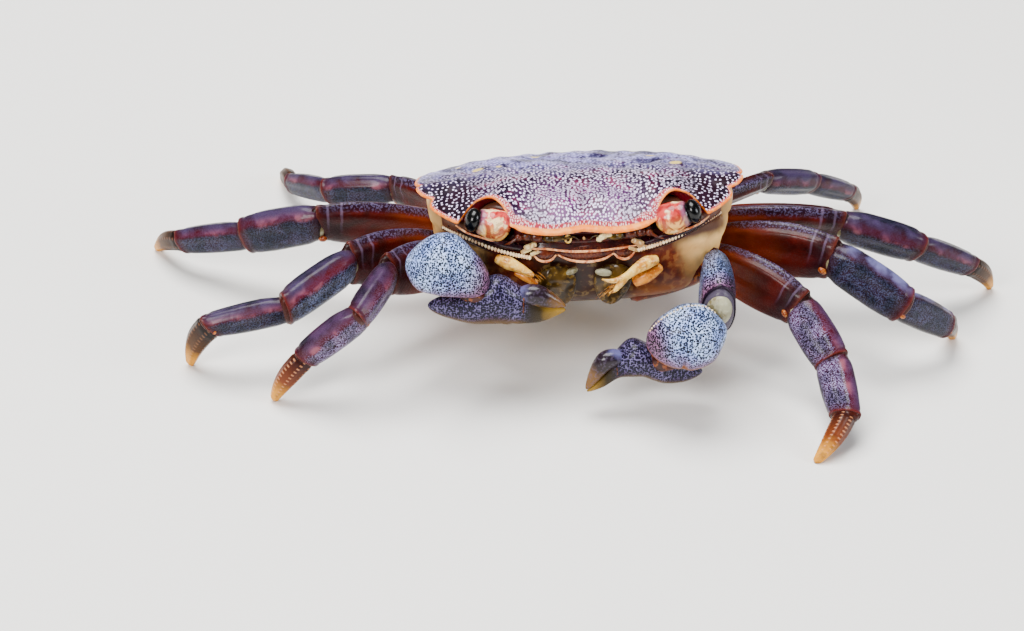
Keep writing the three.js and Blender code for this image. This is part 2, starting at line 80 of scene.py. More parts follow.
class Side(Enum):
    """The crab's own two sides, with the sign of X on each."""

    RIGHT = -1
    LEFT = 1

    @property
    def word(self) -> str:
        """The side's name as the nodes spell it."""
        return self.name.lower()

    def at(self, x: float, y: float, z: float) -> Vector:
        """A point of the body frame given for the left side, brought to this one."""
        return Vector((self.value * x, y, z))


# ---------------- numbers and curves


def mix(a: float, b: float, part: float) -> float:
    """The value that part of the way from a to b."""
    return a + (b - a) * part


def smooth(low: float, high: float, value: float) -> float:
    """0 below low and 1 above high, with a soft step between; low may be the larger."""
    part = min(1.0, max(0.0, (value - low) / (high - low)))
    return part * part * (3 - 2 * part)


def bump(value: float, middle: float, width: float) -> float:
    """A soft hill of height 1 at the middle."""
    return math.exp(-(((value - middle) / width) ** 2))


def swell(s: float, levels: Sequence[float], peak: float) -> float:
    """The value between start, middle and end at s, level where it passes the middle.

    Args:
        s: How far along, from 0 to 1.
        levels: The values at the start, at the peak and at the end.
        peak: Where the middle value lies.

    Returns:
        The value at s.
    """
    start, middle, end = levels
    s = min(1.0, max(0.0, s))
    if s < peak:
        return mix(start, middle, math.sin(math.pi / 2 * s / peak))
    return mix(middle, end, 1 - math.cos(math.pi / 2 * (s - peak) / (1 - peak)))


def curve_point(points: Sequence[Vector | Point], part: float) -> Vector:
    """A point of the smooth curve that runs through some points.

    Args:
        points: What the curve passes through, in order.
        part: How far along, from 0 to 1, with an equal share for each span.

    Returns:
        The point.
    """
    spans = len(points) - 1
    i = min(int(part * spans), spans - 1)
    w = part * spans - i
    p1, p2 = Vector(points[i]), Vector(points[i + 1])
    p0 = Vector(points[i - 1]) if i > 0 else 2 * p1 - p2
    p3 = Vector(points[i + 2]) if i + 2 <= spans else 2 * p2 - p1
    d0, d1, d2 = (max(math.sqrt((b - a).length), 1e-4) for a, b in ((p0, p1), (p1, p2), (p2, p3)))
    leave = ((p1 - p0) / d0 - (p2 - p0) / (d0 + d1) + (p2 - p1) / d1) * d1
    arrive = ((p2 - p1) / d1 - (p3 - p1) / (d1 + d2) + (p3 - p2) / d2) * d1
    square, cube = w * w, w * w * w
    return (
        p1 * (2 * cube - 3 * square + 1)
        + leave * (cube - 2 * square + w)
        + p2 * (3 * square - 2 * cube)
        + arrive * (cube - square)
    )


def curve_level(levels: Sequence[float], part: float) -> float:
    """A value of the smooth curve that runs through some values, at part of its length."""
    return curve_point([(level, 0.0, 0.0) for level in levels], part).x


def tint(code: str, depth: float = 1.45) -> tuple[float, float, float, float]:
    """A colour code as red, green, blue and alpha for a shader.

    Args:
        code: The colour, such as '#3a2038'.
        depth: How much deeper and fuller the colour is made, to keep it so under bright lamps.

    Returns:
        The linear colour.
    """
    parts = [int(code[i : i + 2], 16) / 255 for i in (1, 3, 5)]
    linear = (c / 12.92 if c <= 0.04045 else ((c + 0.055) / 1.055) ** 2.4 for c in parts)
    red, green, blue = (c**depth for c in linear)
    return (red, green, blue, 1.0)


# ---------------- shader expressions


class Value:
    """A number in a shader; arithmetic on it adds Math nodes."""

    def __init__(self, graph: "Graph", socket: Socket) -> None:
        """Wraps an output socket of a graph."""
        self.graph = graph
        self.socket = socket

    def _math(self, operation: str, *operands: "Value | float") -> "Value":
        """One Math node on these operands."""
        node = self.graph.add("ShaderNodeMath", {"operation": operation}, dict(enumerate(operands)))
        return Value(self.graph, node.outputs[0])

    def __add__(self, other: "Value | float") -> "Value":
        """self + other."""
        return self._math("ADD", self, other)

    def __radd__(self, other: float) -> "Value":
        """other + self."""
        return self._math("ADD", other, self)

    def __sub__(self, other: "Value | float") -> "Value":
        """self - other."""
        return self._math("SUBTRACT", self, other)

    def __rsub__(self, other: float) -> "Value":
        """other - self."""
        return self._math("SUBTRACT", other, self)

    def __mul__(self, other: "Value | float") -> "Value":
        """self * other."""
        return self._math("MULTIPLY", self, other)

    def __rmul__(self, other: float) -> "Value":
        """other * self."""
        return self._math("MULTIPLY", other, self)

    def __abs__(self) -> "Value":
        """The distance from zero."""
        return self._math("ABSOLUTE", self)

    def most(self, other: "Value | float") -> "Value":
        """The larger of the two."""
        return self._math("MAXIMUM", self, other)

    def sine(self) -> "Value":
        """The sine of an angle in radians."""
        return self._math("SINE", self)

    def step(self, low: float, high: float) -> "Value":
        """0 at low and 1 at high, with a soft step between; low may be the larger.

        Args:
            low: Where it is 0.
            high: Where it is 1.

        Returns:
            The step.
        """
        if low > high:
            return 1 - self.step(high, low)
        settings = {"interpolation_type": "SMOOTHSTEP"}
        node = self.graph.add(
            "ShaderNodeMapRange", settings, {"Value": self, "From Min": low, "From Max": high}
        )
        return Value(self.graph, node.outputs["Result"])


class Graph:
    """The node tree of one material."""

    def __init__(self, name: str) -> None:
        """Starts an empty material with its shader and output.

        Args:
            name: The material's name.
        """
        self.material = bpy.data.materials.new(name)
        self.material.use_nodes = True
        self.tree = self.material.node_tree
        self.tree.nodes.clear()
        self.shader = self.add("ShaderNodeBsdfPrincipled", {}, {})
        output = self.add("ShaderNodeOutputMaterial", {}, {})
        self.tree.links.new(self.shader.outputs[0], output.inputs["Surface"])
        coordinates = self.add("ShaderNodeTexCoord", {}, {})
        scaled = self.add(
            "ShaderNodeVectorMath",
            {"operation": "SCALE"},
            {0: coordinates.outputs["Object"], "Scale": 1 / MM},
        )
        self.millimetres = scaled.outputs[0]

    def add(self, kind: str, settings: dict[str, object], inputs: dict[str | int, object]) -> bpy.types.Node:
        """Adds a node.

        Args:
            kind: The node's type.
            settings: Its properties; "stops" gives a ramp's places and colours.
            inputs: Numbers, colours, values or sockets for its inputs, by name or number.

        Returns:
            The node.
        """
        node = self.tree.nodes.new(kind)
        for key, setting in settings.items():
            if key == "stops":
                while len(node.color_ramp.elements) < len(setting):
                    node.color_ramp.elements.new(0.5)
                for element, (place, code) in zip(node.color_ramp.elements, setting):
                    element.position = place
                    element.color = tint(code)
            else:
                setattr(node, key, setting)
        for key, given in inputs.items():
            source = given.socket if isinstance(given, Value) else given
            if isinstance(source, Socket):
                self.tree.links.new(source, node.inputs[key])
            else:
                node.inputs[key].default_value = source
        return node

    def mark(self, name: str) -> Value:
        """A number that the piece carries at each of its points."""
        node = self.add("ShaderNodeAttribute", {"attribute_name": name}, {})
        return Value(self, node.outputs["Fac"])

    def place(self, name: str) -> Socket:
        """A vector that the piece carries at each of its points."""
        return self.add("ShaderNodeAttribute", {"attribute_name": name}, {}).outputs["Vector"]

    def noise(
        self, size: float, detail: float = 2.0, warp: float = 0.0, where: Socket | None = None
    ) -> Value:
        """Soft noise whose features are about size millimetres across.

        Args:
            size: The features' size.
            detail: How many finer layers it has.
            warp: How much it is bent.
            where: Where to read it, if not at the piece's own place.

        Returns:
            The noise, from 0 to 1.
        """
        node = self.add(
            "ShaderNodeTexNoise",
            {},
            {
                "Vector": where or self.millimetres,
                "Scale": 1 / size,
                "Detail": detail,
                "Distortion": warp,
            },
        )
        return Value(self, node.outputs["Fac"])

    def cells(
        self, size: float, spread: float = 1.0, where: Socket | None = None, flat: bool = False
    ) -> Value:
        """How far it is to the middle of the nearest cell, with cells size millimetres apart.

        Args:
            size: How far apart they are.
            spread: How irregular they are, from 0 to 1.
            where: Where to read them, if not at the piece's own place.
            flat: Whether depth is left out.

        Returns:
            The distance, as a part of size.
        """
        node = self.add(
            "ShaderNodeTexVoronoi",
            {"voronoi_dimensions": "2D" if flat else "3D"},
            {"Vector": where or self.millimetres, "Scale": 1 / size, "Randomness": spread},
        )
        return Value(self, node.outputs["Distance"])

    def ramp(self, value: Value, *stops: tuple[float, str]) -> Socket:
        """A colour picked by a value from a row of colours."""
        return self.add("ShaderNodeValToRGB", {"stops": stops}, {"Fac": value}).outputs["Color"]

    def blend(self, factor: Value | float, under: Socket | str, over: Socket | str) -> Socket:
        """Lays one colour over another.

        Args:
            factor: How much of the upper colour shows.
            under: The lower colour, as a socket or a code.
            over: The upper colour, as a socket or a code.

        Returns:
            The colour's socket.
        """
        low, high = (tint(c) if isinstance(c, str) else c for c in (under, over))
        node = self.add("ShaderNodeMix", {"data_type": "RGBA"}, {0: factor, 6: low, 7: high})
        return node.outputs[2]

    def relief(self, height: Value, depth: float) -> None:
        """Raises the surface by a height, over depth millimetres."""
        node = self.add("ShaderNodeBump", {}, {"Height": height, "Distance": depth * MM, "Strength": 1.0})
        self.tree.links.new(node.outputs[0], self.shader.inputs["Normal"])

    def glow(self, weight: float, reach: Point) -> None:
        """Lets light shine on inside the skin, over some millimetres of red, green and blue.

        Args:
            weight: How much of the light goes in.
            reach: How far each colour goes.
        """
        constants = {"Weight": weight, "Radius": tuple(MM * r for r in reach), "Scale": 1.0}
        for key, constant in constants.items():
            self.shader.inputs[f"Subsurface {key}"].default_value = constant

    def dress(self, colour: Socket, roughness: Value | float, **constants: float) -> None:
        """Connects colour and roughness, and sets what is the same all over.

        Args:
            colour: The base colour's socket.
            roughness: A value or a number.
            constants: Other inputs of the shader, with spaces written as underscores.
        """
        self.tree.links.new(colour, self.shader.inputs["Base Color"])
        self.shader.inputs["Specular IOR Level"].default_value = SPECULAR
        if isinstance(roughness, Value):
            self.tree.links.new(roughness.socket, self.shader.inputs["Roughness"])
        else:
            self.shader.inputs["Roughness"].default_value = roughness
        for key, constant in constants.items():
            self.shader.inputs[key.replace("_", " ")].default_value = constant


# ---------------- finishes


@dataclass(frozen=True)
class Finish:
    """What all finishes share: a name and a gloss."""

    name: str
    roughness: float = 0.3
    coat: float = 0.1

    def paint(self, graph: Graph) -> None:
        """Builds the nodes."""
        raise NotImplementedError

    @functools.cache
    def material(self) -> bpy.types.Material:
        """The finish as a material, made once.

        Returns:
            The material.
        """
        graph = Graph(self.name)
        self.paint(graph)
        return graph.material


@dataclass(frozen=True)
class ShellFinish(Finish):
    """Dark purple shell with pale dots that crowd together towards the middle and the rear, and a painted sky
    reflection over the rear.
    """

    def paint(self, graph: Graph) -> None:
        """Builds the nodes.

        Args:
            graph: The tree they go in.
        """
        where = graph.place("where")
        parts = graph.add("ShaderNodeSeparateXYZ", {}, {0: where})
        x = abs(Value(graph, parts.outputs[0]))
        y = Value(graph, parts.outputs[1])
        cloud = graph.noise(3.4, 3.0, 0.4, where)
        patch = graph.noise(1.9, 2.0, 0.3, where)
        rear = (y + cloud * 5.0).step(9.0, 17.0)
        corner = (x + cloud * 3.0).step(8.5, 12.5) * y.step(12.0, 8.0)
        middle = (x + cloud * 3.0).step(8.0, 3.0) * (y + cloud * 3.0).step(8.5, 3.0)
        ground = graph.blend(cloud.step(0.35, 0.65), "#2c1038", "#542458")
        ground = graph.blend(corner * 0.8, ground, "#340c1c")
        ground = graph.blend(middle * 0.75, ground, "#8c5890")
        ground = graph.blend(rear * 0.7, ground, "#40386c")
        pink = patch.step(0.5, 0.66) * (1 - corner) * (1 - rear * 0.6)
        ground = graph.blend(pink * 0.6, ground, "#a03468")
        shadow = graph.noise(2.3, 2.0, 0.8, where).step(0.47, 0.6) * (1 - rear)
        ground = graph.blend(shadow * 0.7, ground, "#2a0c34")
        # pale lilac patches over the rear: a painted reflection of the sky on the shell
        sky_sheen = graph.noise(0.9, 3.0, 0.3, where).step(0.35, 0.6) * rear
        ground = graph.blend(sky_sheen * 0.75, ground, "#b4b0e0")
        stain = graph.noise(2.6, 3.0, 0.6, where).step(0.48, 0.58)
        ground = graph.blend(stain * rear * 0.85, ground, "#2c1c4c")
        small = graph.cells(0.36, 0.8, where, True)
        large = graph.cells(0.46, 0.75, where, True)
        fine = graph.cells(0.28, 0.85, where, True)
        reach = graph.noise(0.8, 1.0, 0.0, where) * 0.12 + patch * 0.12
        dots = (small - reach).step(0.23, 0.12) * (1 - corner) * (1 - middle)
        dots = dots.most((large - reach * 0.35).step(0.21, 0.13) * corner)
        dots = dots.most((fine - reach - shadow * 0.05).step(0.26, 0.13) * middle)
        pale = graph.blend(rear, "#f0e4ff", "#ccc8f4")
        # the dots thin out and the colour darkens in the furrows: painted shade in the grooves
        furrow = graph.mark("furrow") * cloud.step(0.3, 0.65)
        dots = dots * (1 - stain * rear * 0.75) * (1 - furrow * 0.5)
        colour = graph.blend(dots * (0.97 - rear * 0.3), ground, pale)
        colour = graph.blend(furrow * 0.3, colour, "#180820")
        colour = graph.blend(graph.mark("spots"), colour, "#e3cf86")
        speck = graph.cells(0.17, 0.9, where, True).step(0.42, 0.2)
        near = graph.blend(speck * 0.75, "#b44c60", "#fce4e4")
        colour = graph.blend(graph.mark("shoulder"), colour, near)
        edge = graph.blend(graph.mark("brow"), "#e88c28", "#f89c28")
        # pale patches on the orange rim: a painted highlight
        edge = graph.blend(graph.noise(0.7).step(0.4, 0.7) * 0.45, edge, "#ffcc8c")
        colour = graph.blend(graph.mark("rim"), colour, edge)
        colour = graph.blend(graph.mark("under"), colour, "#7c1830")
        graph.relief(dots * 0.5 + graph.noise(0.5) * 0.5, 0.06)
        rough = 0.36 - dots * 0.06 + graph.noise(1.1) * 0.12
        graph.dress(colour, rough, Coat_Weight=self.coat, Coat_Roughness=0.2)


@dataclass(frozen=True)
class MazeFinish(Finish):
    """Pale cuticle with a dark maze on it, for the claws and their wrists."""

    pale: str = "#b8cef0"
    dark: str = "#04061c"
    cast: str = "#a07c9c"
    rim: str = "#9a6428"
    tone: str = "#88a4e0"
    size: float = 0.102
    share: float = -0.155

    def paint(self, graph: Graph) -> None:
        """Builds the nodes.

        Args:
            graph: The tree they go in.
        """
        along, upper, front = graph.mark("along"), graph.mark("upper"), graph.mark("front")
        cloud = graph.noise(2.2, 2.0)
        lower = (upper * -1 + cloud * 1.2).step(0.6, 1.3)
        light = graph.blend(cloud.step(0.3, 0.7) * 0.6, self.pale, self.tone)
        light = graph.blend((along + cloud * 0.3).step(0.8, 1.1), light, self.cast)
        light = graph.blend(lower * 0.85, light, self.cast)
        maze = graph.noise(self.size, 0.8, 0.5) * 0.35 - graph.cells(self.size * 1.9, 0.7) * 0.62
        shift = cloud * 0.12 - 0.06 - lower * 0.04
        lines = (maze + shift).step(self.share - 0.03, self.share + 0.03)
        colour = graph.blend(lines * 0.98, light, self.dark)
        back = front.step(0.15, -0.7)
        colour = graph.blend(back * 0.7, colour, "#1c0c24")
        colour = graph.blend(graph.mark("seam") * 0.9, colour, "#7c6430")
        horn = graph.ramp(along + cloud * 0.15, (0.72, "#34303c"), (0.88, "#4c4020"), (1.0, "#a88c44"))
        colour = graph.blend(graph.mark("finger"), colour, horn)
        colour = graph.blend(graph.mark("rim"), colour, self.rim)
        colour = graph.blend(graph.mark("cap"), colour, "#6c6474")
        graph.relief((1 - lines) * 0.6 + cloud * 0.4, 0.05)
        graph.dress(colour, 0.32 + lines * 0.08, Coat_Weight=self.coat, Coat_Roughness=0.15)


@dataclass(frozen=True)
class LegFinish(Finish):
    """Navy and purple cuticle: a painted pale sheen above, a red keel, speckled faces and orange rims."""

    ground: str = "#15122e"
    shade: str = "#3a1a38"
    keel: str = "#7c2838"
    bloom: str = "#80749c"
    fleck: str = "#acbcec"
    speckle: float = 0.1
    red: float = 0.4
    dust: float = 0.25

    def paint(self, graph: Graph) -> None:
        """Builds the nodes.

        Args:
            graph: The tree they go in.
        """
        along, upper, front = graph.mark("along"), graph.mark("upper"), graph.mark("front")
        cloud = graph.noise(1.6, 2.0, 0.3)
        colour = graph.blend(cloud.step(0.35, 0.65), self.ground, self.shade)
        maze = graph.noise(0.11, 0.8, 0.5).step(0.5, 0.57)
        face = (front + cloud * 0.5).step(-0.1, 0.7) * (upper + cloud).step(1.5, 1.0)
        face = face * (0.35 + cloud.step(0.35, 0.6) * 0.65)
        colour = graph.blend(maze * (0.02 + face * self.speckle), colour, self.fleck)
        keel = (upper + cloud * 0.3).step(0.72, 0.94) * (upper + cloud * 0.3).step(1.2, 1.02)
        sheen = graph.blend(cloud.step(0.5, 0.72), self.keel, "#c88894")
        colour = graph.blend(keel * front.step(-0.3, 0.3) * self.red, colour, sheen)
        # a pale lilac sheen on the upper face, where the light falls: a painted highlight
        top = upper.step(0.7, 0.98) * cloud.step(0.3, 0.62)
        colour = graph.blend(top * self.dust, colour, self.bloom)
        colour = graph.blend(upper.step(-0.5, -0.95) * 0.8, colour, "#2c0a16")
        colour = graph.blend(along.step(0.82, 0.98) * 0.6, colour, "#5a0f18")
        colour = graph.blend(along.step(0.12, 0.0) * 0.6, colour, "#4a1018")
        colour = graph.blend(graph.mark("rim") * 0.8, colour, "#7c3828")
        colour = graph.blend(graph.mark("cap"), colour, "#5c2c20")
        graph.relief(maze * 0.4 + cloud * 0.6, 0.05)
        graph.dress(colour, 0.3 + maze * 0.1, Coat_Weight=self.coat, Coat_Roughness=0.15)


@dataclass(frozen=True)
class MerusFinish(Finish):
    """Translucent red-brown cuticle, orange towards the body, with a lilac keel and pale lines."""

    def paint(self, graph: Graph) -> None:
        """Builds the nodes.

        Args:
            graph: The tree they go in.
        """
        along, upper, front = graph.mark("along"), graph.mark("upper"), graph.mark("front")
        cloud = graph.noise(2.0, 2.0, 0.3)
        warm = (along + cloud * 0.4 + upper * 0.15).step(0.95, 0.25)
        colour = graph.blend(cloud.step(0.3, 0.7), "#44120e", "#6a200f")
        colour = graph.blend(warm * 0.9, colour, "#b05a14")
        keel = (upper + cloud * 0.25).step(0.92, 1.14)
        colour = graph.blend(keel * 0.85, colour, "#36223e")
        speck = graph.noise(0.17, 0.8, 0.5).step(0.5, 0.58)
        colour = graph.blend(speck * keel * 0.4, colour, "#9690b4")
        tip = along.step(0.76, 0.92)
        colour = graph.blend(tip * 0.6, colour, "#38182c")
        lines = bands(along + cloud * 0.02, (0.84, 0.93), 0.012)
        colour = graph.blend(lines * upper.step(-0.2, 0.8) * 0.22, colour, "#a898b4")
        back = front.step(0.0, -0.6)
        colour = graph.blend(back * 0.35, colour, "#180818")
        colour = graph.blend(graph.mark("rim"), colour, "#6a3428")
        colour = graph.blend(graph.mark("cap"), colour, "#3c150e")
        graph.relief(cloud * 0.7 + speck * 0.3, 0.05)
        graph.glow(0.12, (1.2, 0.4, 0.2))
        graph.dress(colour, 0.32 + speck * 0.1, Coat_Weight=self.coat, Coat_Roughness=0.18)


def bands(along: Value, places: Sequence[float], width: float) -> Value:
    """Thin bands across a piece at some places along it."""
    lines = [abs(along - place).step(width, width * 0.4) for place in places]
    return functools.reduce(lambda a, b: a.most(b), lines)


@dataclass(frozen=True)
class HornFinish(Finish):
    """Ribbed horn of a foot: orange-brown with rows of pale bumps and a yellow tip."""

    start: str = "#2c1c1c"
    middle: str = "#6c4c24"
    tip: str = "#dca848"
    bumps: float = 0.12

    def paint(self, graph: Graph) -> None:
        """Builds the nodes.

        Args:
            graph: The tree they go in.
        """
        along, ribs = graph.mark("along"), graph.mark("ribs")
        cloud = graph.noise(0.9, 2.0)
        reach = along + cloud * 0.25
        colour = graph.ramp(reach, (0.2, self.start), (0.65, self.middle), (0.92, self.tip))
        colour = graph.blend(cloud.step(0.5, 0.7) * 0.4, colour, "#38140a")
        rows = (along * 90.0).sine().step(0.0, 0.9) * ribs.step(0.6, 0.95)
        colour = graph.blend(rows * self.bumps * along.step(0.95, 0.75), colour, "#e8b088")
        graph.relief(rows * self.bumps * 1.4 + graph.noise(0.2) * 0.3, 0.06)
        graph.dress(colour, 0.38, Coat_Weight=self.coat, Coat_Roughness=0.2)


@dataclass(frozen=True)
class FingerFinish(Finish):
    """Glossy dark finger of a claw with a yellow edge and a pale tip."""

    base: str = "#7c7ca8"
    middle: str = "#3c2c34"
    tip: str = "#8c6c3c"

    def paint(self, graph: Graph) -> None:
        """Builds the nodes.

        Args:
            graph: The tree they go in.
        """
        along, upper = graph.mark("along"), graph.mark("upper")
        cloud = graph.noise(1.0, 2.0)
        reach = along + cloud * 0.3
        colour = graph.ramp(reach, (0.22, self.base), (0.42, "#3c3040"), (0.75, self.middle), (1.0, self.tip))
        colour = graph.blend((upper * -1 + cloud).step(0.9, 1.4) * 0.6, colour, "#8c7030")
        speck = graph.noise(0.24, 1.0).step(0.55, 0.62)
        colour = graph.blend(speck * 0.3, colour, "#7c7088")
        graph.relief(cloud * 0.6 + speck * 0.4, 0.04)
        graph.dress(colour, 0.3, Coat_Weight=0.3, Coat_Roughness=0.15)


@dataclass(frozen=True)
class UndersideFinish(Finish):
    """Cream and rust cuticle of the flanks and breast, maroon under the brow, dark olive-brown at the mouth
    with painted shade of its recess.
    """

    def paint(self, graph: Graph) -> None:
        """Builds the nodes.

        Args:
            graph: The tree they go in.
        """
        where = graph.place("where")
        parts = graph.add("ShaderNodeSeparateXYZ", {}, {0: where})
        x = abs(Value(graph, parts.outputs[0]))
        y = Value(graph, parts.outputs[1])
        z = Value(graph, parts.outputs[2])
        cloud = graph.noise(2.6, 3.0, 0.5)
        fine = graph.noise(0.6, 2.0)
        cream = graph.blend(cloud.step(0.35, 0.9), "#ffdca0", "#c88838")
        rust = graph.blend(fine.step(0.3, 0.7), "#6a2a18", "#94502a")
        outer = (x + cloud * 4.0 + z * 0.4).step(8.4, 11.6)
        colour = graph.blend(outer, rust, cream)
        low = (z + cloud * 2.0).step(-4.4, -6.2)
        colour = graph.blend(low * (1 - outer * 0.6) * 0.85, colour, "#a8702c")
        # dark brown behind the jaws: the mouthparts' own brown, darkened as painted shade of the mouth's
        # recess
        mouth = (x + cloud * 1.5).step(6.5, 4.4) * z.step(-2.2, -3.2) * y.step(8.0, 4.0)
        colour = graph.blend(mouth * 0.9, colour, "#3c2410")
        colour = graph.blend(fine.step(0.54, 0.66) * 0.12, colour, "#e2c888")
        brow = (z + cloud * 0.6).step(-2.1, -1.1) * y.step(9.0, 5.0)
        colour = graph.blend(brow * 0.95, colour, "#5c0c20")
        breast = z.step(-6.0, -7.6) * y.step(5.0, 8.0)
        colour = graph.blend(breast * 0.8, colour, "#c0ab7c")
        colour = graph.blend(graph.mark("suture"), colour, "#52381c")
        graph.relief(fine * 0.4 + cloud * 0.6, 0.08)
        graph.dress(colour, 0.45, Coat_Weight=self.coat, Coat_Roughness=0.25)


@dataclass(frozen=True)
class MottledFinish(Finish):
    """Two colours in soft patches with fine speckles, for the small parts of the face."""

    one: str = "#c79a4e"
    two: str = "#8a5a30"
    speck: str = "#efe0b8"
    size: float = 0.8
    amount: float = 0.35
    glow: float = 0.0

    def paint(self, graph: Graph) -> None:
        """Builds the nodes.

        Args:
            graph: The tree they go in.
        """
        cloud = graph.noise(self.size, 2.0, 0.4)
        colour = graph.blend(cloud.step(0.38, 0.62), self.one, self.two)
        speck = graph.noise(self.size * 0.3, 1.0).step(0.54, 0.64)
        colour = graph.blend(speck * self.amount, colour, self.speck)
        graph.relief(cloud * 0.5 + speck * 0.5, 0.04)
        graph.glow(self.glow, (0.6, 0.3, 0.2))
        graph.dress(colour, self.roughness, Coat_Weight=self.coat, Coat_Roughness=0.12)


@dataclass(frozen=True)
class StalkFinish(Finish):
    """Pink and cream eyestalk with red patches and a pale collar round the eye."""

    def paint(self, graph: Graph) -> None:
        """Builds the nodes.

        Args:
            graph: The tree they go in.
        """
        along, upper = graph.mark("along"), graph.mark("upper")
        cloud = graph.noise(1.3, 2.0, 0.8)
        colour = graph.blend(upper.step(-0.4, 0.4), "#f0c47c", "#d86460")
        colour = graph.blend(cloud.step(0.5, 0.6) * 0.8, colour, "#a82c38")
        colour = graph.blend(cloud.step(0.45, 0.38) * 0.85, colour, "#ffeec4")
        veins = graph.noise(0.5, 2.0, 1.0).step(0.56, 0.62)
        colour = graph.blend(veins * 0.4, colour, "#8c2018")
        reach = along + cloud * 0.08
        colour = graph.blend(reach.step(0.76, 0.86) * 0.6, colour, "#8c809c")
        colour = graph.blend(reach.step(0.86, 0.93), colour, "#0c0812")
        graph.relief(cloud, 0.06)
        graph.glow(0.15, (0.8, 0.3, 0.2))
        graph.dress(colour, 0.25, Coat_Weight=0.4, Coat_Roughness=0.08)


@dataclass(frozen=True)
class CorneaFinish(Finish):
    """Near-black eye with a faint violet mesh under a hard gloss."""

    def paint(self, graph: Graph) -> None:
        """Builds the nodes.

        Args:
            graph: The tree they go in.
        """
        mesh = graph.cells(0.09, 0.2).step(0.35, 0.6)
        colour = graph.blend(mesh * 0.5, "#020103", "#0a0610")
        graph.relief(mesh, 0.003)
        graph.dress(colour, 0.25, Coat_Weight=0.35, Coat_Roughness=0.08)


@dataclass(frozen=True)
class FloorFinish(Finish):
    """Plain pale floor."""

    def paint(self, graph: Graph) -> None:
        """Builds the nodes."""
        tone = graph.blend(graph.noise(60.0, 1.0), "#f6f5f3", "#f1f0ee")
        graph.dress(tone, 0.75)


class Finishes:
    """The crab's finishes, by part."""

    SHELL = ShellFinish("shell_speckled")
    UNDERSIDE = UndersideFinish("underside_cream_and_rust", coat=0.25)
    WRIST = MazeFinish("claw_wrist_blue_maze", pale="#ccdeff", tone="#90acf8")
    PALM = MazeFinish(
        "claw_palm_lilac", pale="#8c84a8", dark="#1c1434", cast="#5c3450", tone="#645c88", share=-0.2
    )
    ARM = MazeFinish("claw_arm_blue", pale="#a8b0d0", rim="#3c2440")
    HINGE = MottledFinish("claw_hinge", 0.35, 0.3, "#5c2410", "#2c1410", "#c07c34", 1.2)
    ROOT = MottledFinish("limb_root_rust", 0.4, 0.2, "#8c4410", "#58200a", "#c8863c", 1.6)
    FINGER = FingerFinish("claw_finger_dark")
    LEG = LegFinish("leg_navy")
    LEG_MARKED = LegFinish("leg_navy_marked", speckle=0.6, red=0.75)
    # a stronger painted sheen on the upper faces
    LEG_DUSTED = LegFinish("leg_navy_dusted", bloom="#9898c4", red=0.15, dust=0.55)
    LEG_SPECKLED = LegFinish(
        "leg_purple_speckled", ground="#281430", shade="#541c3c", fleck="#c4b8e4", speckle=0.6, red=0.42
    )
    MERUS = MerusFinish("leg_merus_red_brown")
    HORN = HornFinish("foot_horn")
    HORN_BEADED = HornFinish("foot_horn_beaded", start="#4c2420", middle="#8c5430", bumps=0.5)
    MEMBRANE = MottledFinish(
        "joint_membrane", 0.4, 0.2, "#b4b29c", "#8c8468", "#dcdac8", 1.5, amount=0.2, glow=0.1
    )
    CONDYLE = MottledFinish("joint_knob_orange", 0.3, 0.3, "#c07c38", "#8c4820", "#ecc080", 0.5)
    STALK = StalkFinish("eyestalk_pink")
    CORNEA = CorneaFinish("cornea_black")
    LIP = MottledFinish("lip_pink", 0.3, 0.3, "#f4bc8c", "#c87c54", "#ffe8c8", 0.6)
    FLAP = MottledFinish("lip_flap_red_brown", 0.3, 0.3, "#501c1c", "#743c24", "#b4845c", 0.6, amount=0.2)
    MAROON = MottledFinish("mouth_maroon", 0.3, 0.3, "#380e18", "#5c2418", "#7c3020", 0.7, amount=0.3)
    OLIVE = MottledFinish("jaw_olive", 0.3, 0.3, "#6a5424", "#463618", "#b89a54", 1.4, amount=0.2)
    CREAM = MottledFinish("mouth_cream", 0.3, 0.3, "#ecdcac", "#b89468", "#fff4d4", 1.0)
    BEAD = MottledFinish("bead_cream", 0.3, 0.3, "#fff0d0", "#ecc8a0", "#fffaf0", 0.4)
    YELLOW = MottledFinish("palp_yellow", 0.3, 0.3, "#f0cc78", "#cc9844", "#fff0c0", 0.8, glow=0.1)
    AMBER = MottledFinish("jaw_amber", 0.3, 0.3, "#e8a848", "#c07c2c", "#f8d080", 0.9, glow=0.1)
    SHELF = MottledFinish("orbit_shelf", 0.25, 0.4, "#280a1c", "#461428", "#5a2038", 0.8, amount=0.25)
    BRISTLE = MottledFinish("bristle", 0.4, 0.1, "#b88440", "#5c3010", "#e8c888")
    FLOOR = FloorFinish("floor_pale")


# ---------------- making pieces


def wrap(along: int, around: int, place: Place, marks: dict[str, Mark]) -> bmesh.types.BMesh:
    """A closed skin: a grid rolled up along one way and drawn to a point at both ends.

    Args:
        along: Rows of the grid, from the first pole to the last.
        around: Columns of the grid.
        place: Where the point goes that lies so far along and so far round, both from 0 to 1.
        marks: Numbers to keep at each point, by name.

    Returns:
        The skin, in the frame that place uses.
    """
    bm = bmesh.new()
    bmesh.ops.create_grid(bm, x_segments=along, y_segments=around, size=0.5)
    layers = {name: bm.verts.layers.float.new(name) for name in marks}
    for vert in bm.verts:
        s, t = vert.co.x + 0.5, vert.co.y + 0.5
        s, t = round(s * along) / along, round(t * around) / around
        vert.co = place(s, t)
        for name, layer in layers.items():
            vert[layer] = marks[name](s, t)
    bmesh.ops.remove_doubles(bm, verts=bm.verts, dist=1e-5)
    bmesh.ops.recalc_face_normals(bm, faces=bm.faces)
    return bm


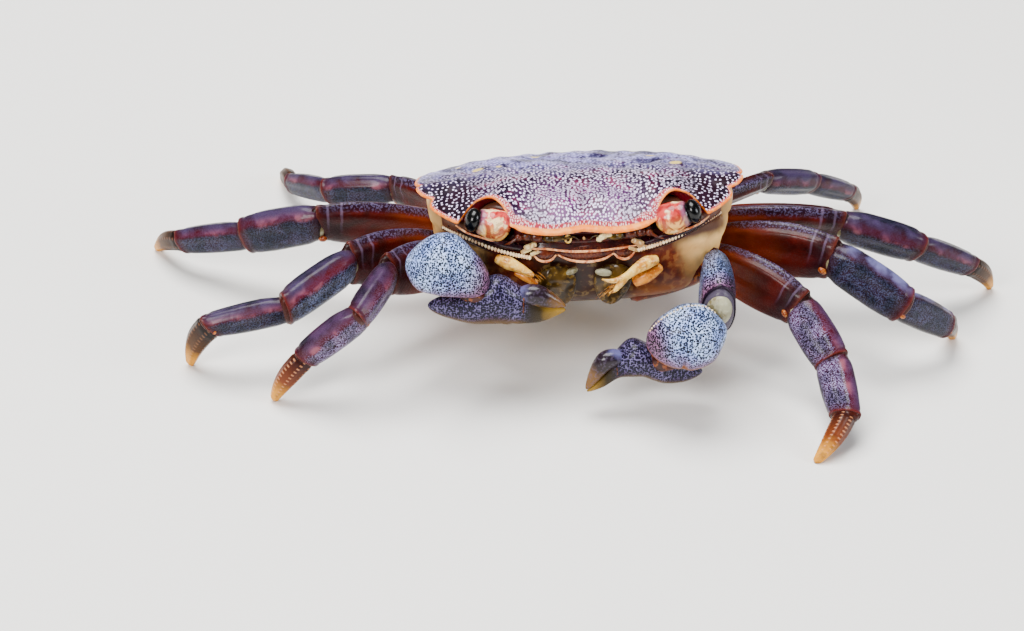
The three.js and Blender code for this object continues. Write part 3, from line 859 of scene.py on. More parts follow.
def keep_place(bm: bmesh.types.BMesh) -> None:
    """Stores each point's present place, so that a finish can read it later.

    Args:
        bm: The mesh.
    """
    layer = bm.verts.layers.float_vector.new("where")
    for vert in bm.verts:
        vert[layer] = vert.co


def join(into: bmesh.types.BMesh, other: bmesh.types.BMesh) -> None:
    """Adds one mesh to another and frees it.

    Args:
        into: The mesh that grows.
        other: The mesh that goes into it.
    """
    mesh = bpy.data.meshes.new("join")
    other.to_mesh(mesh)
    other.free()
    into.from_mesh(mesh)
    bpy.data.meshes.remove(mesh)


def tube(
    points: Sequence[Vector | Point], radii: Sequence[float], rows: int = 16, sides: int = 10
) -> bmesh.types.BMesh:
    """A round closed strand along a smooth curve.

    Args:
        points: What its middle line passes through.
        radii: Its radius at equal steps along it.
        rows: Rows of faces along it.
        sides: Faces round it.

    Returns:
        The strand.
    """

    def tip(s: float, t: float) -> float:
        """How far along the middle line the row at s lies; two rows at each end close it."""
        return min(1.0, max(0.0, (s * (rows + 4) - 2) / rows))

    def place(s: float, t: float) -> Vector:
        """A point of the strand.

        Args:
            s: How far along, 0 to 1.
            t: How far round, 0 to 1.

        Returns:
            The point.
        """
        part = tip(s, t)
        cap = min(1.0, s * (rows + 4) / 2, (1 - s) * (rows + 4) / 2)
        middle = curve_point(points, part)
        step = curve_point(points, min(1.0, part + 0.02)) - curve_point(points, max(0.0, part - 0.02))
        across = step.cross(Vector((0.13, -0.2, 1.0))).normalized()
        over = across.cross(step).normalized()
        radius = curve_level(radii, part) if len(radii) > 1 else radii[0]
        end = (part > 0.5) - (part < 0.5)
        bulge = step.normalized() * end * radius * 0.6 * (1 - cap) * (cap < 1)
        turn = TAU * t
        ring = across * math.cos(turn) + over * math.sin(turn)
        return middle + bulge + ring * radius * math.sqrt(1 - (1 - cap) ** 2)

    return wrap(rows + 4, sides, place, {"along": tip})


def ball(
    centre: Vector | Point, radii: Point, turn: Matrix | None = None, detail: int = 3
) -> bmesh.types.BMesh:
    """An egg-shaped bead.

    Args:
        centre: Its middle.
        radii: Its half sizes.
        turn: How it is turned, if it is.
        detail: How finely it is divided.

    Returns:
        The bead.
    """
    bm = bmesh.new()
    bmesh.ops.create_icosphere(bm, subdivisions=detail, radius=1.0)
    shape = Matrix.Diagonal((*radii, 1.0))
    place = Matrix.Translation(centre) @ (turn.to_4x4() if turn else Matrix()) @ shape
    bmesh.ops.transform(bm, matrix=place, verts=bm.verts)
    return bm


def gathered(parts: Iterable[bmesh.types.BMesh]) -> bmesh.types.BMesh:
    """Several meshes as one.

    Args:
        parts: The meshes, which are freed.

    Returns:
        The whole.
    """
    whole = bmesh.new()
    for part in parts:
        join(whole, part)
    return whole


@dataclass(frozen=True)
class Attitude:
    """How the body is carried over the floor, in millimetres and degrees."""

    front_height: float = 16.6
    pitch: float = -16.5
    roll: float = -5.2
    yaw: float = 3.9
    origin: Point = (0.1192, -13.5604, 0.0)

    def stand(self) -> Matrix:
        """From the stand frame, in millimetres under the shell's front, to the row frame."""
        return Matrix.Scale(MM, 4) @ Matrix.Translation(self.origin)

    def body(self) -> Matrix:
        """From the body frame to the stand frame.

        Returns:
            The matrix.
        """
        turns = [
            Matrix.Rotation(math.radians(angle), 4, axis)
            for angle, axis in ((self.yaw, "Z"), (self.roll, "Y"), (self.pitch, "X"))
        ]
        lift = Matrix.Translation((0, 0, self.front_height))
        return lift @ turns[0] @ turns[1] @ turns[2]


ATTITUDE = Attitude()


class Workshop:
    """Turns meshes into finished pieces of the crab."""

    def __init__(self) -> None:
        """Keeps count of the pieces made."""
        self.made = 0

    def piece(
        self,
        name: str,
        bm: bmesh.types.BMesh,
        finish: Finish,
        nodes: Sequence[str] = (),
        in_body: bool = False,
    ) -> None:
        """Finishes a mesh and hands it to the frame.

        Args:
            name: The piece's name.
            bm: Its mesh in millimetres; it is freed.
            finish: What it is dressed in.
            nodes: The solids that it stands for.
            in_body: Whether the mesh is in the body frame, not the stand frame.
        """
        if "where" not in bm.verts.layers.float_vector:
            keep_place(bm)
        if in_body:
            bmesh.ops.transform(bm, matrix=ATTITUDE.body(), verts=bm.verts)
        for vert in bm.verts:
            vert.co.z = max(vert.co.z, 0.0)
        bmesh.ops.transform(bm, matrix=ATTITUDE.stand(), verts=bm.verts)
        for face in bm.faces:
            face.smooth = True
        mesh = bpy.data.meshes.new(name)
        bm.to_mesh(mesh)
        bm.free()
        mesh.materials.append(finish.material())
        made = bpy.data.objects.new(name, mesh)
        bpy.context.scene.collection.objects.link(made)
        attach(made, "root")
        if nodes:
            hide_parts(*nodes)
        self.made += 1
        LOG.info("%s: %d faces", name, len(mesh.polygons))


# ---------------- shell and body


@dataclass(eq=False)
class Shell:
    """The carapace: a domed plate with a lobed front, two orbits and toothed sides."""

    crown: float = 3.7
    centre_y: float = 12.0
    plate: float = 0.9
    fall: float = 3.2
    frontal_lobe: Sequence[Point] = ((0, 0.2, 0.2), (3.0, -0.15, 0.0), (5.4, 0.1, 0.3), (6.7, 0.5, 0.7))
    orbit: Sequence[Point] = (
        (6.7, 0.5, 0.7), (7.2, 1.7, 2.1), (8.3, 2.45, 2.95), (9.8, 2.4, 2.6), (11.5, 1.25, 0.9),
    )
    first_tooth: Sequence[Point] = (
        (11.5, 1.25, 0.9), (13.0, 3.1, 1.3), (13.95, 5.0, 1.75), (13.7, 5.75, 2.2),
    )
    second_tooth: Sequence[Point] = (
        (13.7, 5.75, 2.2), (14.7, 6.4, 2.5), (15.2, 7.6, 2.85), (14.75, 8.6, 2.8),
    )
    third_tooth: Sequence[Point] = ((14.75, 8.6, 2.8), (15.25, 9.4, 2.8), (15.3, 10.4, 2.8))
    flank: Sequence[Point] = (
        (15.3, 10.4, 2.8), (14.9, 13.5, 2.6), (13.2, 17.6, 2.0), (10.4, 21.6, 1.0), (7.2, 24.6, 0.1),
    )
    rear: Sequence[Point] = ((7.2, 24.6, 0.1), (5.4, 25.4, -0.1), (0, 25.6, -0.2))
    pale_spots: Sequence[Point] = (
        (-9.4, 11.3, 0.62), (-3.9, 16.0, 0.5), (6.9, 14.1, 0.5), (9.1, 11.0, 0.66), (-7.4, 12.6, 0.3),
        (5.4, 17.2, 0.35), (-11.2, 13.2, 0.3), (10.6, 15.0, 0.4), (-2.0, 20.5, 0.4), (4.0, 21.5, 0.4),
    )
    half_columns: int = 210
    rows: int = 190
    top_end: float = 0.72
    rim_end: float = 0.82
    crowding: float = 1.55
    edge: list[Vector] = field(default_factory=list)

    def __post_init__(self) -> None:
        """Works out the margin once."""
        self.edge = self.margin(self.half_columns)

    def margin(self, half_count: int) -> list[Vector]:
        """The whole margin, from the front through the right side, at even steps.

        Args:
            half_count: Steps on each half.

        Returns:
            Twice that many points.
        """
        stretches = [
            [Vector(p) for p in stretch]
            for stretch in (
                self.frontal_lobe, self.orbit, self.first_tooth, self.second_tooth,
                self.third_tooth, self.flank, self.rear,
            )
        ]
        lengths = [sum((b - a).length for a, b in zip(s, s[1:])) for s in stretches]
        whole = sum(lengths)
        half: list[Vector] = []
        for stretch, length in zip(stretches, lengths):
            steps = max(2, round(half_count * length / whole))
            half += [curve_point(stretch, i / steps) for i in range(steps)]
        half = self._evened([*half, stretches[-1][-1]], half_count)
        mirrored = [Vector((-p.x, p.y, p.z)) for p in half]
        return mirrored + half[-2:0:-1]

    @staticmethod
    def _evened(points: list[Vector], count: int) -> list[Vector]:
        """The same line with exactly count steps.

        Args:
            points: The line.
            count: How many steps it gets.

        Returns:
            The new line.
        """
        last = len(points) - 1
        evened = []
        for i in range(count + 1):
            at = i / count * last
            k = min(int(at), last - 1)
            evened.append(points[k].lerp(points[k + 1], at - k))
        return evened

    def grooves(self, x: float, y: float) -> float:
        """How deep a point lies in the furrows between the shell's regions, from 0 to 1.

        Args:
            x: Millimetres across.
            y: Millimetres back.

        Returns:
            The depth, 0 to 1.
        """
        across = abs(x)
        midline = 0.7 * bump(x, 0, 0.35) * smooth(6.5, 3.0, y) * smooth(0.4, 1.4, y)
        neck = bump(y, 8.2 + 0.55 * across, 0.65) * smooth(2.0, 3.5, across) * smooth(10, 7.5, across)
        waist = bump(y, 14.6 + 0.12 * across, 0.55) * smooth(5.2, 3.0, across)
        heart = 0.6 * bump(across, 3.6, 0.7) * smooth(13.2, 15.0, y) * smooth(21, 18, y)
        cheek = 0.8 * bump(across, 9.6 + 0.12 * (y - 7), 0.6) * smooth(6.0, 7.5, y) * smooth(12, 10, y)
        return min(1.0, midline + neck + waist + heart + cheek)

    def relief(self, x: float, y: float) -> float:
        """The low hills and furrows of the shell's regions, in millimetres.

        Args:
            x: Millimetres across.
            y: Millimetres back.

        Returns:
            The height.
        """
        across = abs(x)
        brow = 0.34 * bump(across, 2.3, 1.5) * bump(y, 2.5, 1.3)
        gill = 0.22 * bump(across, 8.5, 3.0) * bump(y, 16, 4.0)
        cheek = 0.26 * bump(across, 6.6, 1.7) * bump(y, 6.2, 1.7)
        ridge = 0.12 * bump(y, 22.6, 0.6) * smooth(9, 6, across)
        ripple = 0.09 * math.sin(1.9 * x + 0.7 * y) * math.sin(1.3 * y - 0.8 * x + 1.0)
        return brow + gill + cheek + ridge + ripple - 0.19 * self.grooves(x, y)

    def point(self, edge: Vector, part: float) -> Vector:
        """A point of the upper face: part 0 is the crown and 1 is the margin.

        Args:
            edge: The margin's point in that direction.
            part: How far out it lies.

        Returns:
            The point.
        """
        part = max(part, 0.0)
        y = mix(self.centre_y, edge.y, part)
        z = mix(self.crown, edge.z, part**self.fall)
        return Vector((edge.x * part, y, z))

    def _edge_at(self, t: float) -> Vector:
        """The margin's point in one direction."""
        return self.edge[round(t * len(self.edge)) % len(self.edge)]

    def _inside(self, s: float, edge: Vector) -> float:
        """How far inside the margin the row at s lies, in millimetres; 0 past the upper face."""
        whole = (edge - Vector((0, self.centre_y, edge.z))).length
        return whole * (1 - s / self.top_end) ** self.crowding if s < self.top_end else 0.0

    def _brow(self, edge: Vector) -> float:
        """1 on the front between the eyes and 0 elsewhere."""
        return smooth(6.7, 5.6, abs(edge.x)) * smooth(3.0, 1.0, edge.y)

    def _place(self, s: float, t: float) -> Vector:
        """The skin: over the top, round the rim and back underneath.

        Args:
            s: How far along, 0 to 1.
            t: How far round, 0 to 1.

        Returns:
            The point.
        """
        edge = self._edge_at(t)
        out = Vector((edge.x, edge.y - self.centre_y, 0)).normalized()
        radius = mix(0.11, 0.2, self._brow(edge))
        if s < self.top_end:
            part = 1 - (1 - s / self.top_end) ** self.crowding
            top = self.point(edge, part)
            reach = (self.edge[0] - Vector((0, self.centre_y, 0))).length * (1 - part)
            roll = smooth(0.7, 0.0, reach)
            top.z += self.relief(top.x, top.y) * smooth(0.0, 0.08, 1 - part)
            top.z += 0.16 * mix(0.5, 1.0, self._brow(edge)) * bump(reach, 0.42, 0.22)
            return top - out * radius * roll
        if s < self.rim_end:
            turn = math.pi * (s - self.top_end) / (self.rim_end - self.top_end)
            drop = Vector((0, 0, radius * (math.cos(turn) - 1)))
            return edge + out * radius * (math.sin(turn) - 1) + drop
        part = 1 - (s - self.rim_end) / (1 - self.rim_end)
        under = self.point(edge, part)
        under.z -= mix(self.plate, 2 * radius, smooth(0.9, 1.0, part))
        return under - out * radius * smooth(0.8, 1.0, part)

    def _rim(self, s: float, t: float) -> float:
        """How much of the coral rim shows at a point.

        Args:
            s: How far along, 0 to 1.
            t: How far round, 0 to 1.

        Returns:
            The share, 0 to 1.
        """
        edge = self._edge_at(t)
        if s > 0.78:
            return smooth(0.84, 0.78, s)
        width = mix(0.09, 0.22, self._brow(edge)) * mix(0.4, 1.0, smooth(22, 12, edge.y))
        return smooth(width, width * 0.72, self._inside(s, edge))

    def _shoulder(self, s: float, t: float) -> float:
        """The pink band with pale grains just inside the rim, widest over the brow.

        Args:
            s: How far along, 0 to 1.
            t: How far round, 0 to 1.

        Returns:
            The share, 0 to 1.
        """
        edge = self._edge_at(t)
        if s > self.top_end:
            return 0.0
        beside = bump(abs(edge.x), 6.6, 1.2) * smooth(4.0, 2.0, edge.y)
        width = mix(0.26, 0.62, self._brow(edge)) + 0.8 * beside
        return smooth(width, width * 0.7, self._inside(s, edge)) * smooth(16, 10, edge.y)

    def _furrow(self, s: float, t: float) -> float:
        """How deep a point of the upper face lies in a furrow."""
        at = self._place(s, t)
        return self.grooves(at.x, at.y) if s < self.top_end else 0.0

    def _spots(self, s: float, t: float) -> float:
        """The few cream spots on the back.

        Args:
            s: How far along, 0 to 1.
            t: How far round, 0 to 1.

        Returns:
            The share, 0 to 1.
        """
        at = self._place(s, t)
        near = (smooth(r, r * 0.6, math.hypot(at.x - x, (at.y - y) * 1.2)) for x, y, r in self.pale_spots)
        return max(near) if s <= self.top_end else 0.0

    def build(self, shop: Workshop) -> None:
        """Makes the carapace.

        Args:
            shop: The workshop.
        """
        marks = {
            "rim": self._rim,
            "shoulder": self._shoulder,
            "spots": self._spots,
            "brow": lambda s, t: self._brow(self._edge_at(t)),
            "furrow": self._furrow,
            "under": lambda s, t: smooth(0.79, 0.83, s),
        }
        bm = wrap(self.rows, len(self.edge), self._place, marks)
        shop.piece("carapace_shell", bm, Finishes.SHELL, ["carapace"], True)


@dataclass(frozen=True)
class Level:
    """One level of the body's wall: heights and widths at the face and at the flanks."""

    face: float
    face_width: float
    flank: float
    flank_width: float


@dataclass(eq=False)
class Body:
    """What lies under the shell: face, flanks, breast and the tail folded beneath."""

    shell: Shell
    half_width: float = 13.9
    front_y: float = 1.5
    back_y: float = 24.4
    bottom: float = -8.7
    gap: float = 0.25
    flank_turn: tuple[float, float] = (64.0, 78.0)
    levels: Sequence[Level] = (
        Level(-0.7, 1.0, -0.9, 1.0),
        Level(-2.3, 1.0, -2.5, 0.97),
        Level(-3.4, 0.985, -3.1, 0.72),
        Level(-4.9, 0.95, -6.2, 0.68),
        Level(-6.9, 0.86, -8.2, 0.52),
    )
    sutures: Sequence[float] = (8.6, 11.4, 14.2, 17.0, 19.6)
    tail: Sequence[tuple[float, float]] = ((1.1, 8.6), (2.2, 11.5), (3.4, 15.0), (4.6, 19.0), (5.0, 25.5))
    tail_end: float = 23.4
    tail_thickness: float = 0.3
    tail_joints: Sequence[float] = (11.0, 13.4, 15.8, 18.2, 20.6)
    tail_root: Point = (0.0, 21.8, -2.5)
    tail_root_size: Point = (5.6, 2.2, 1.9)

    def wall(self, edge: Vector, scale: float) -> Vector:
        """The wall's point in the direction of an edge of the shell.

        Args:
            edge: The margin's point in that direction.
            scale: Its distance from the middle, as a part of the wall's.

        Returns:
            The point, at height 0.
        """
        dx, dy = edge.x, edge.y - self.shell.centre_y
        centre = self.shell.centre_y
        reach = centre - self.front_y if dy < 0 else self.back_y - centre
        power = 3.0 if dy < 0 else 2.3
        size = (abs(dx / self.half_width) ** power + abs(dy / reach) ** power) ** (-1 / power)
        return Vector((dx * size * scale, centre + dy * size * scale, 0))

    @functools.cache
    def _column(self, index: int, grow: float) -> list[Vector]:
        """The rings' points in one direction, from under the crown to the middle of the breast.

        Args:
            index: Which point of the shell's margin gives the direction.
            grow: How far outside the skin lies.

        Returns:
            The points.
        """
        edge = self.shell.edge[index]
        under = self.shell.plate + self.gap - grow
        points = [self.shell.point(edge, part) - Vector((0, 0, under)) for part in (0.0, 0.4, 0.75, 0.92)]
        corner = points[-1].copy()
        corner.z = mix(corner.z, self.levels[0].face, 0.85)
        points.append(corner)
        turn = math.atan2(abs(edge.x), self.shell.centre_y - edge.y)
        flank = smooth(*(math.radians(a) for a in self.flank_turn), turn)
        for level in self.levels:
            p = self.wall(edge, mix(level.face_width, level.flank_width, flank))
            out = Vector((p.x, p.y - self.shell.centre_y, 0)).normalized()
            p += out * grow
            p.z = mix(level.face, level.flank, flank)
            points.append(p)
        for scale in (0.3, 0.0):
            p = self.wall(edge, scale)
            p.z = self.bottom - grow
            points.append(p)
        return points

    def surface(self, s: float, t: float, grow: float = 0.0) -> Vector:
        """A point of the body's skin, or of a skin that lies grow above it.

        Args:
            s: How far along, 0 to 1.
            t: How far round, 0 to 1.
            grow: How far outside the skin lies.

        Returns:
            The point.
        """
        count = len(self.shell.edge)
        p = curve_point(self._column(round(t * count) % count, grow), s)
        if s > 0.82:
            under = smooth(0.82, 0.88, s)
            p.z += 0.22 * under * self._suture(p)
        return p

    def _suture(self, p: Vector) -> float:
        """How deep a point of the breast lies in a groove between two plates.

        Args:
            p: The point.

        Returns:
            The depth, 0 to 1.
        """
        if p.z > -5.5:
            return 0.0
        bend = abs(p.x) * 0.12
        grooves = max(bump(p.y, y + bend, 0.28) for y in self.sutures)
        return grooves * smooth(0.3, 1.5, abs(p.x))

    def _build_core(self, shop: Workshop) -> None:
        """The body itself.

        Args:
            shop: The workshop.
        """
        marks = {"suture": lambda s, t: self._suture(self.surface(s, t)) if s > 0.8 else 0.0}
        bm = wrap(110, len(self.shell.edge) // 2, self.surface, marks)
        shop.piece("body_under_shell", bm, Finishes.UNDERSIDE, ["thorax"], True)

    def _tail_half_width(self, y: float) -> float:
        """Half the tail's width so far back.

        Args:
            y: Millimetres back.

        Returns:
            The half width.
        """
        for (w0, y0), (w1, y1) in zip(self.tail, self.tail[1:]):
            if y <= y1:
                return mix(w0, w1, max(0.0, (y - y0) / (y1 - y0)))
        return self.tail[-1][0]

    def _breast(self, x: float, y: float) -> float:
        """The height of the breast that the tail lies against."""
        middle = smooth(6.5, 12.0, y) * smooth(24.6, 17.0, y)
        return mix(-3.2, self.bottom, middle**0.6) + 0.02 * x * x

    def _tail_place(self, s: float, t: float) -> Vector:
        """A point of the tail's skin.

        Args:
            s: How far along, 0 to 1.
            t: How far round, 0 to 1.

        Returns:
            The point.
        """
        turn = TAU * t
        y = mix(self.tail[0][1], self.tail_end, s)
        end = math.sqrt(max(0.0, 1 - abs(2 * s - 1) ** 8))
        x = math.cos(turn) * self._tail_half_width(y) * end
        groove = 0.1 * max(bump(y, joint, 0.18) for joint in self.tail_joints) * (math.sin(turn) < 0)
        z = self._breast(x, y) - 0.25 + math.sin(turn) * (self.tail_thickness * end - groove)
        return Vector((x, y, z))

    def _build_tail(self, shop: Workshop) -> None:
        """The tail, folded flat under the body, with a groove at each joint.

        Args:
            shop: The workshop.
        """
        bm = wrap(90, 40, self._tail_place, {})
        shop.piece("tail_folded", bm, Finishes.UNDERSIDE, ["abdomen"], True)
        root = ball(self.tail_root, self.tail_root_size, None, 4)
        shop.piece("tail_root", root, Finishes.UNDERSIDE, (), True)

    def build(self, shop: Workshop) -> None:
        """Makes the body and the tail."""
        self._build_core(shop)
        self._build_tail(shop)


# ---------------- face


@dataclass
class Eye:
    """One stalked eye in its orbit."""

    side: Side
    root: Point = (6.6, 1.6, 0.15)
    middle: Point = (8.15, 1.15, 0.6)
    tip: Point = (10.1, 1.05, 1.2)
    radii: Sequence[float] = (0.95, 1.45, 1.42, 0.95)
    cornea_at: Point = (10.02, 0.98, 1.17)
    cornea: Point = (0.78, 1.08, 1.12)
    cornea_lean: float = -18.0

    def build(self, shop: Workshop) -> None:
        """Makes the stalk and the cornea.

        Args:
            shop: The workshop.
        """
        points = [self.side.at(*p) for p in (self.root, self.middle, self.tip)]
        axis = (points[2] - points[0]).normalized()
        across = axis.cross(Vector((0, 0, 1))).normalized()
        over = across.cross(axis).normalized()

        def place(s: float, t: float) -> Vector:
            """A point of the stalk, which is waisted before the cornea.

            Args:
                s: How far along, 0 to 1.
                t: How far round, 0 to 1.

            Returns:
                The point.
            """
            end = math.sqrt(max(0.0, 1 - abs(2 * s - 1) ** 5))
            radius = curve_level(self.radii, s) * end
            turn = TAU * t
            waist = 1 - 0.1 * bump(s, 0.72, 0.08)
            ring = across * math.cos(turn) + over * math.sin(turn)
            return curve_point(points, s) + ring * radius * waist

        marks = {"along": lambda s, t: s, "upper": lambda s, t: math.sin(TAU * t)}
        word = self.side.word
        bm = wrap(40, 36, place, marks)
        shop.piece(f"eyestalk_{word}_skin", bm, Finishes.STALK, [f"eyestalk_{word}"], True)
        lean = Matrix.Rotation(math.radians(self.cornea_lean * self.side.value), 3, "Y")
        eye = ball(self.side.at(*self.cornea_at), self.cornea, lean, 4)
        shop.piece(f"cornea_{word}_eye", eye, Finishes.CORNEA, [f"cornea_{word}"], True)


@dataclass
class Brow:
    """What lies under one orbit: the dark shelf, its beaded ridge and the orbit's lower rim."""

    side: Side
    ridge: Sequence[Point] = (
        (5.0, 1.0, -2.3), (6.5, 1.05, -1.95), (8.2, 1.3, -1.45), (10.0, 2.2, -0.85), (11.7, 3.8, -0.4),
        (12.8, 5.5, -0.2),
    )
    shelf: Sequence[Point] = (
        (5.4, 1.15, -1.75), (7.2, 1.2, -1.3), (9.0, 1.6, -0.8), (10.6, 2.6, -0.3), (12.1, 4.3, 0.0),
    )
    rim: Sequence[Point] = (
        (6.0, 1.0, -1.3), (7.6, 0.95, -1.05), (9.2, 1.1, -0.6), (10.7, 1.5, -0.1), (11.6, 2.1, 0.45),
    )
    beads: int = 32
    sag: float = 0.0

    def build(self, shop: Workshop) -> None:
        """Makes the shelf, the ridge with its beads, and the rim.

        Args:
            shop: The workshop.
        """
        word = self.side.word
        line = [self.side.at(x, y, z - self.sag) for x, y, z in self.ridge]
        shelf = tube([self.side.at(*p) for p in self.shelf], (0.35, 0.5, 0.46, 0.3), 30, 14)
        shop.piece(f"orbit_shelf_{word}", shelf, Finishes.SHELF, (), True)
        ridge = tube(line, (0.22, 0.28, 0.26, 0.16), 40, 10)
        shop.piece(f"brow_ridge_{word}", ridge, Finishes.MAROON, (), True)
        balls = []
        for i in range(self.beads):
            part = i / (self.beads - 1)
            size = mix(0.22, 0.16, part)
            centre = curve_point(line, part) + Vector((0, -0.3, 0.14))
            balls.append(ball(centre, (size * 0.72, size, size), None, 2))
        shop.piece(f"brow_beads_{word}", gathered(balls), Finishes.BEAD, (), True)
        rim = tube([self.side.at(*p) for p in self.rim], (0.07, 0.1, 0.1, 0.07), 30, 10)
        shop.piece(f"orbit_rim_{word}", rim, Finishes.LIP, (), True)


@dataclass
class Mouth:
    """The lips, jaws, feelers and palps between and below the eyes."""

    lip_lobes: Sequence[Sequence[Point]] = (
        ((-4.6, 0.9, -2.35), (-4.2, 0.7, -2.75), (-3.6, 0.62, -2.92), (-3.0, 0.68, -2.78), (-2.6, 0.8, -2.4)),
        ((-2.4, 0.8, -2.4), (-1.3, 0.62, -2.88), (0.2, 0.56, -3.08), (1.7, 0.62, -2.9), (2.7, 0.8, -2.45)),
        ((2.7, 0.8, -2.45), (3.1, 0.68, -2.82), (3.7, 0.62, -2.97), (4.2, 0.7, -2.8), (4.6, 0.9, -2.4)),
    )
    ridge: Sequence[Point] = (
        (-5.1, 0.9, -1.75), (-3.6, 0.7, -1.75), (-1.2, 0.55, -2.05), (1.2, 0.55, -2.08),
        (3.6, 0.7, -1.9), (5.1, 0.9, -1.75),
    )
    brow_ledge: Sequence[Point] = (
        (-6.2, 1.1, -0.75), (-3.0, 0.95, -0.95), (0.0, 0.9, -1.15), (3.0, 0.95, -0.95), (6.2, 1.1, -0.75),
    )

    def _build_lips(self, shop: Workshop) -> None:
        """The plate over the mouth, its three scalloped lips and their pale edges.

        Args:
            shop: The workshop.
        """

        def plate(s: float, t: float) -> Vector:
            """A point of the plate over the mouth.

            Args:
                s: How far along, 0 to 1.
                t: How far round, 0 to 1.

            Returns:
                The point.
            """
            x = mix(-5.6, 5.6, s)
            end = math.sqrt(max(0.0, 1 - abs(2 * s - 1) ** 6))
            turn = TAU * t
            z = mix(-2.35, -0.8, 0.5 + 0.5 * math.sin(turn)) * end + (1 - end) * -1.7
            y = 1.35 + 0.02 * x * x - 0.5 * math.cos(turn) * end - 0.25 * bump(z, -2.1, 0.35) * end
            return Vector((x, y, z))

        bm = wrap(80, 36, plate, {"along": lambda s, t: s})
        shop.piece("lip_plate", bm, Finishes.MAROON, ["epistome"], True)
        flaps = [
            ball((middle, 1.0, -2.3), (half, 0.38, drop), None, 4)
            for middle, half, drop in ((0.2, 2.5, 0.78), (-3.6, 1.0, 0.62), (3.6, 1.0, 0.66))
        ]
        shop.piece("lip_flaps", gathered(flaps), Finishes.FLAP, (), True)
        lobes = [tube(lobe, (0.07, 0.12, 0.13, 0.12, 0.07), 40, 8) for lobe in self.lip_lobes]
        shop.piece("lip_edges", gathered(lobes), Finishes.LIP, (), True)
        ridge = tube(self.ridge, (0.08, 0.11, 0.13, 0.11, 0.08), 50, 8)
        shop.piece("lip_ridge", ridge, Finishes.LIP, (), True)
        ledge = tube(self.brow_ledge, (0.2, 0.34, 0.3, 0.34, 0.2), 50, 12)
        shop.piece("brow_ledge", ledge, Finishes.MAROON, (), True)

    def _build_blocks(self, shop: Workshop) -> None:
        """The cream knobs at the mouth's corners and the small pale grains between the feelers.

        Args:
            shop: The workshop.
        """
        knobs = []
        for side in Side:
            for x, y, z, size in ((4.9, 0.8, -1.45, 0.38), (5.3, 0.8, -1.85, 0.32), (4.5, 0.8, -2.1, 0.28)):
                turn = Matrix.Rotation(math.radians(20 * side.value), 3, "Y")
                knobs.append(self._block(side.at(x, y, z), (size * 1.6, size * 0.8, size * 0.6), turn))
        for centre, sizes, angle in (
            ((1.95, 0.45, -0.65), (0.62, 0.34, 0.28), -0.35), ((1.4, 0.5, -0.95), (0.26, 0.26, 0.24), 0.3),
        ):
            knobs.append(self._block(centre, sizes, Matrix.Rotation(angle, 3, "Y")))
        knobs.append(ball((0.0, 0.5, -0.85), (0.14, 0.12, 0.17), None, 2))
        shop.piece("mouth_knobs", gathered(knobs), Finishes.CREAM, (), True)
        ring, steps = [], 12
        for i in range(steps):
            turns = (TAU * i / steps, TAU * (i + 1) / steps)
            ends = [(-1.45 + 0.26 * math.cos(k), 0.42, -0.84 + 0.34 * math.sin(k)) for k in turns]
            ring.append(tube(ends, (0.09,), 2, 8))
        shop.piece("mouth_ring", gathered(ring), Finishes.YELLOW, (), True)

    @staticmethod
    def _block(centre: Vector | Point, sizes: Point, turn: Matrix) -> bmesh.types.BMesh:
        """A rounded block.

        Args:
            centre: Its middle.
            sizes: Its half sizes.
            turn: How it is turned.

        Returns:
            The block.
        """
        bm = bmesh.new()
        bmesh.ops.create_cube(bm, size=1.0)
        bmesh.ops.bevel(
            bm, geom=bm.edges, offset=0.22, offset_type="OFFSET", segments=3, profile=0.5,
            affect="EDGES", material=-1,
        )
        place = Matrix.Translation(centre) @ turn.to_4x4() @ Matrix.Diagonal((*[2 * s for s in sizes], 1.0))
        bmesh.ops.transform(bm, matrix=place, verts=bm.verts)
        return bm

    def _build_feelers(self, shop: Workshop) -> None:
        """The folded antennules and the antennae, with their jointed bases.

        Args:
            shop: The workshop.
        """
        feelers = (
            (
                "antennule", "folded", Finishes.OLIVE,
                (((2.3, 0.62, -0.6), (0.62, 0.34, 0.36)), ((3.2, 0.6, -0.75), (0.5, 0.36, 0.4))),
                (
                    (((2.9, 0.35, -0.9), (2.1, 0.25, -0.78), (1.2, 0.3, -0.7)), (0.2, 0.15, 0.07), 14, 10),
                    (((1.4, 0.3, -0.55), (0.8, 0.35, -0.7), (0.5, 0.4, -1.0)), (0.08, 0.06, 0.04), 10, 8),
                ),
            ),
            (
                "antenna", "jointed", Finishes.FLAP,
                (
                    ((4.3, 0.7, -0.65), (0.62, 0.4, 0.5)),
                    ((5.25, 0.62, -0.5), (0.46, 0.36, 0.42)),
                    ((5.95, 0.55, -0.55), (0.34, 0.3, 0.34)),
                ),
                ((((6.1, 0.5, -0.6), (6.7, 0.5, -1.0), (7.3, 0.75, -1.25)), (0.17, 0.12, 0.05), 20, 8),),
            ),
        )
        for side in Side:
            for feeler, build, finish, knobs, strands in feelers:
                node = f"{feeler}_{side.word}"
                parts = [ball(side.at(*centre), radii, None, 3) for centre, radii in knobs]
                parts += [tube([side.at(*p) for p in line], *sizes) for line, *sizes in strands]
                shop.piece(f"{node}_{build}", gathered(parts), finish, [node], True)

    def _build_jaws(self, shop: Workshop) -> None:
        """The outer jaws: a gaping pair of olive plates, two pale inner jaws that are a painted glint, and
        the amber joint behind the left palp.

        Args:
            shop: The workshop.
        """
        for side in Side:

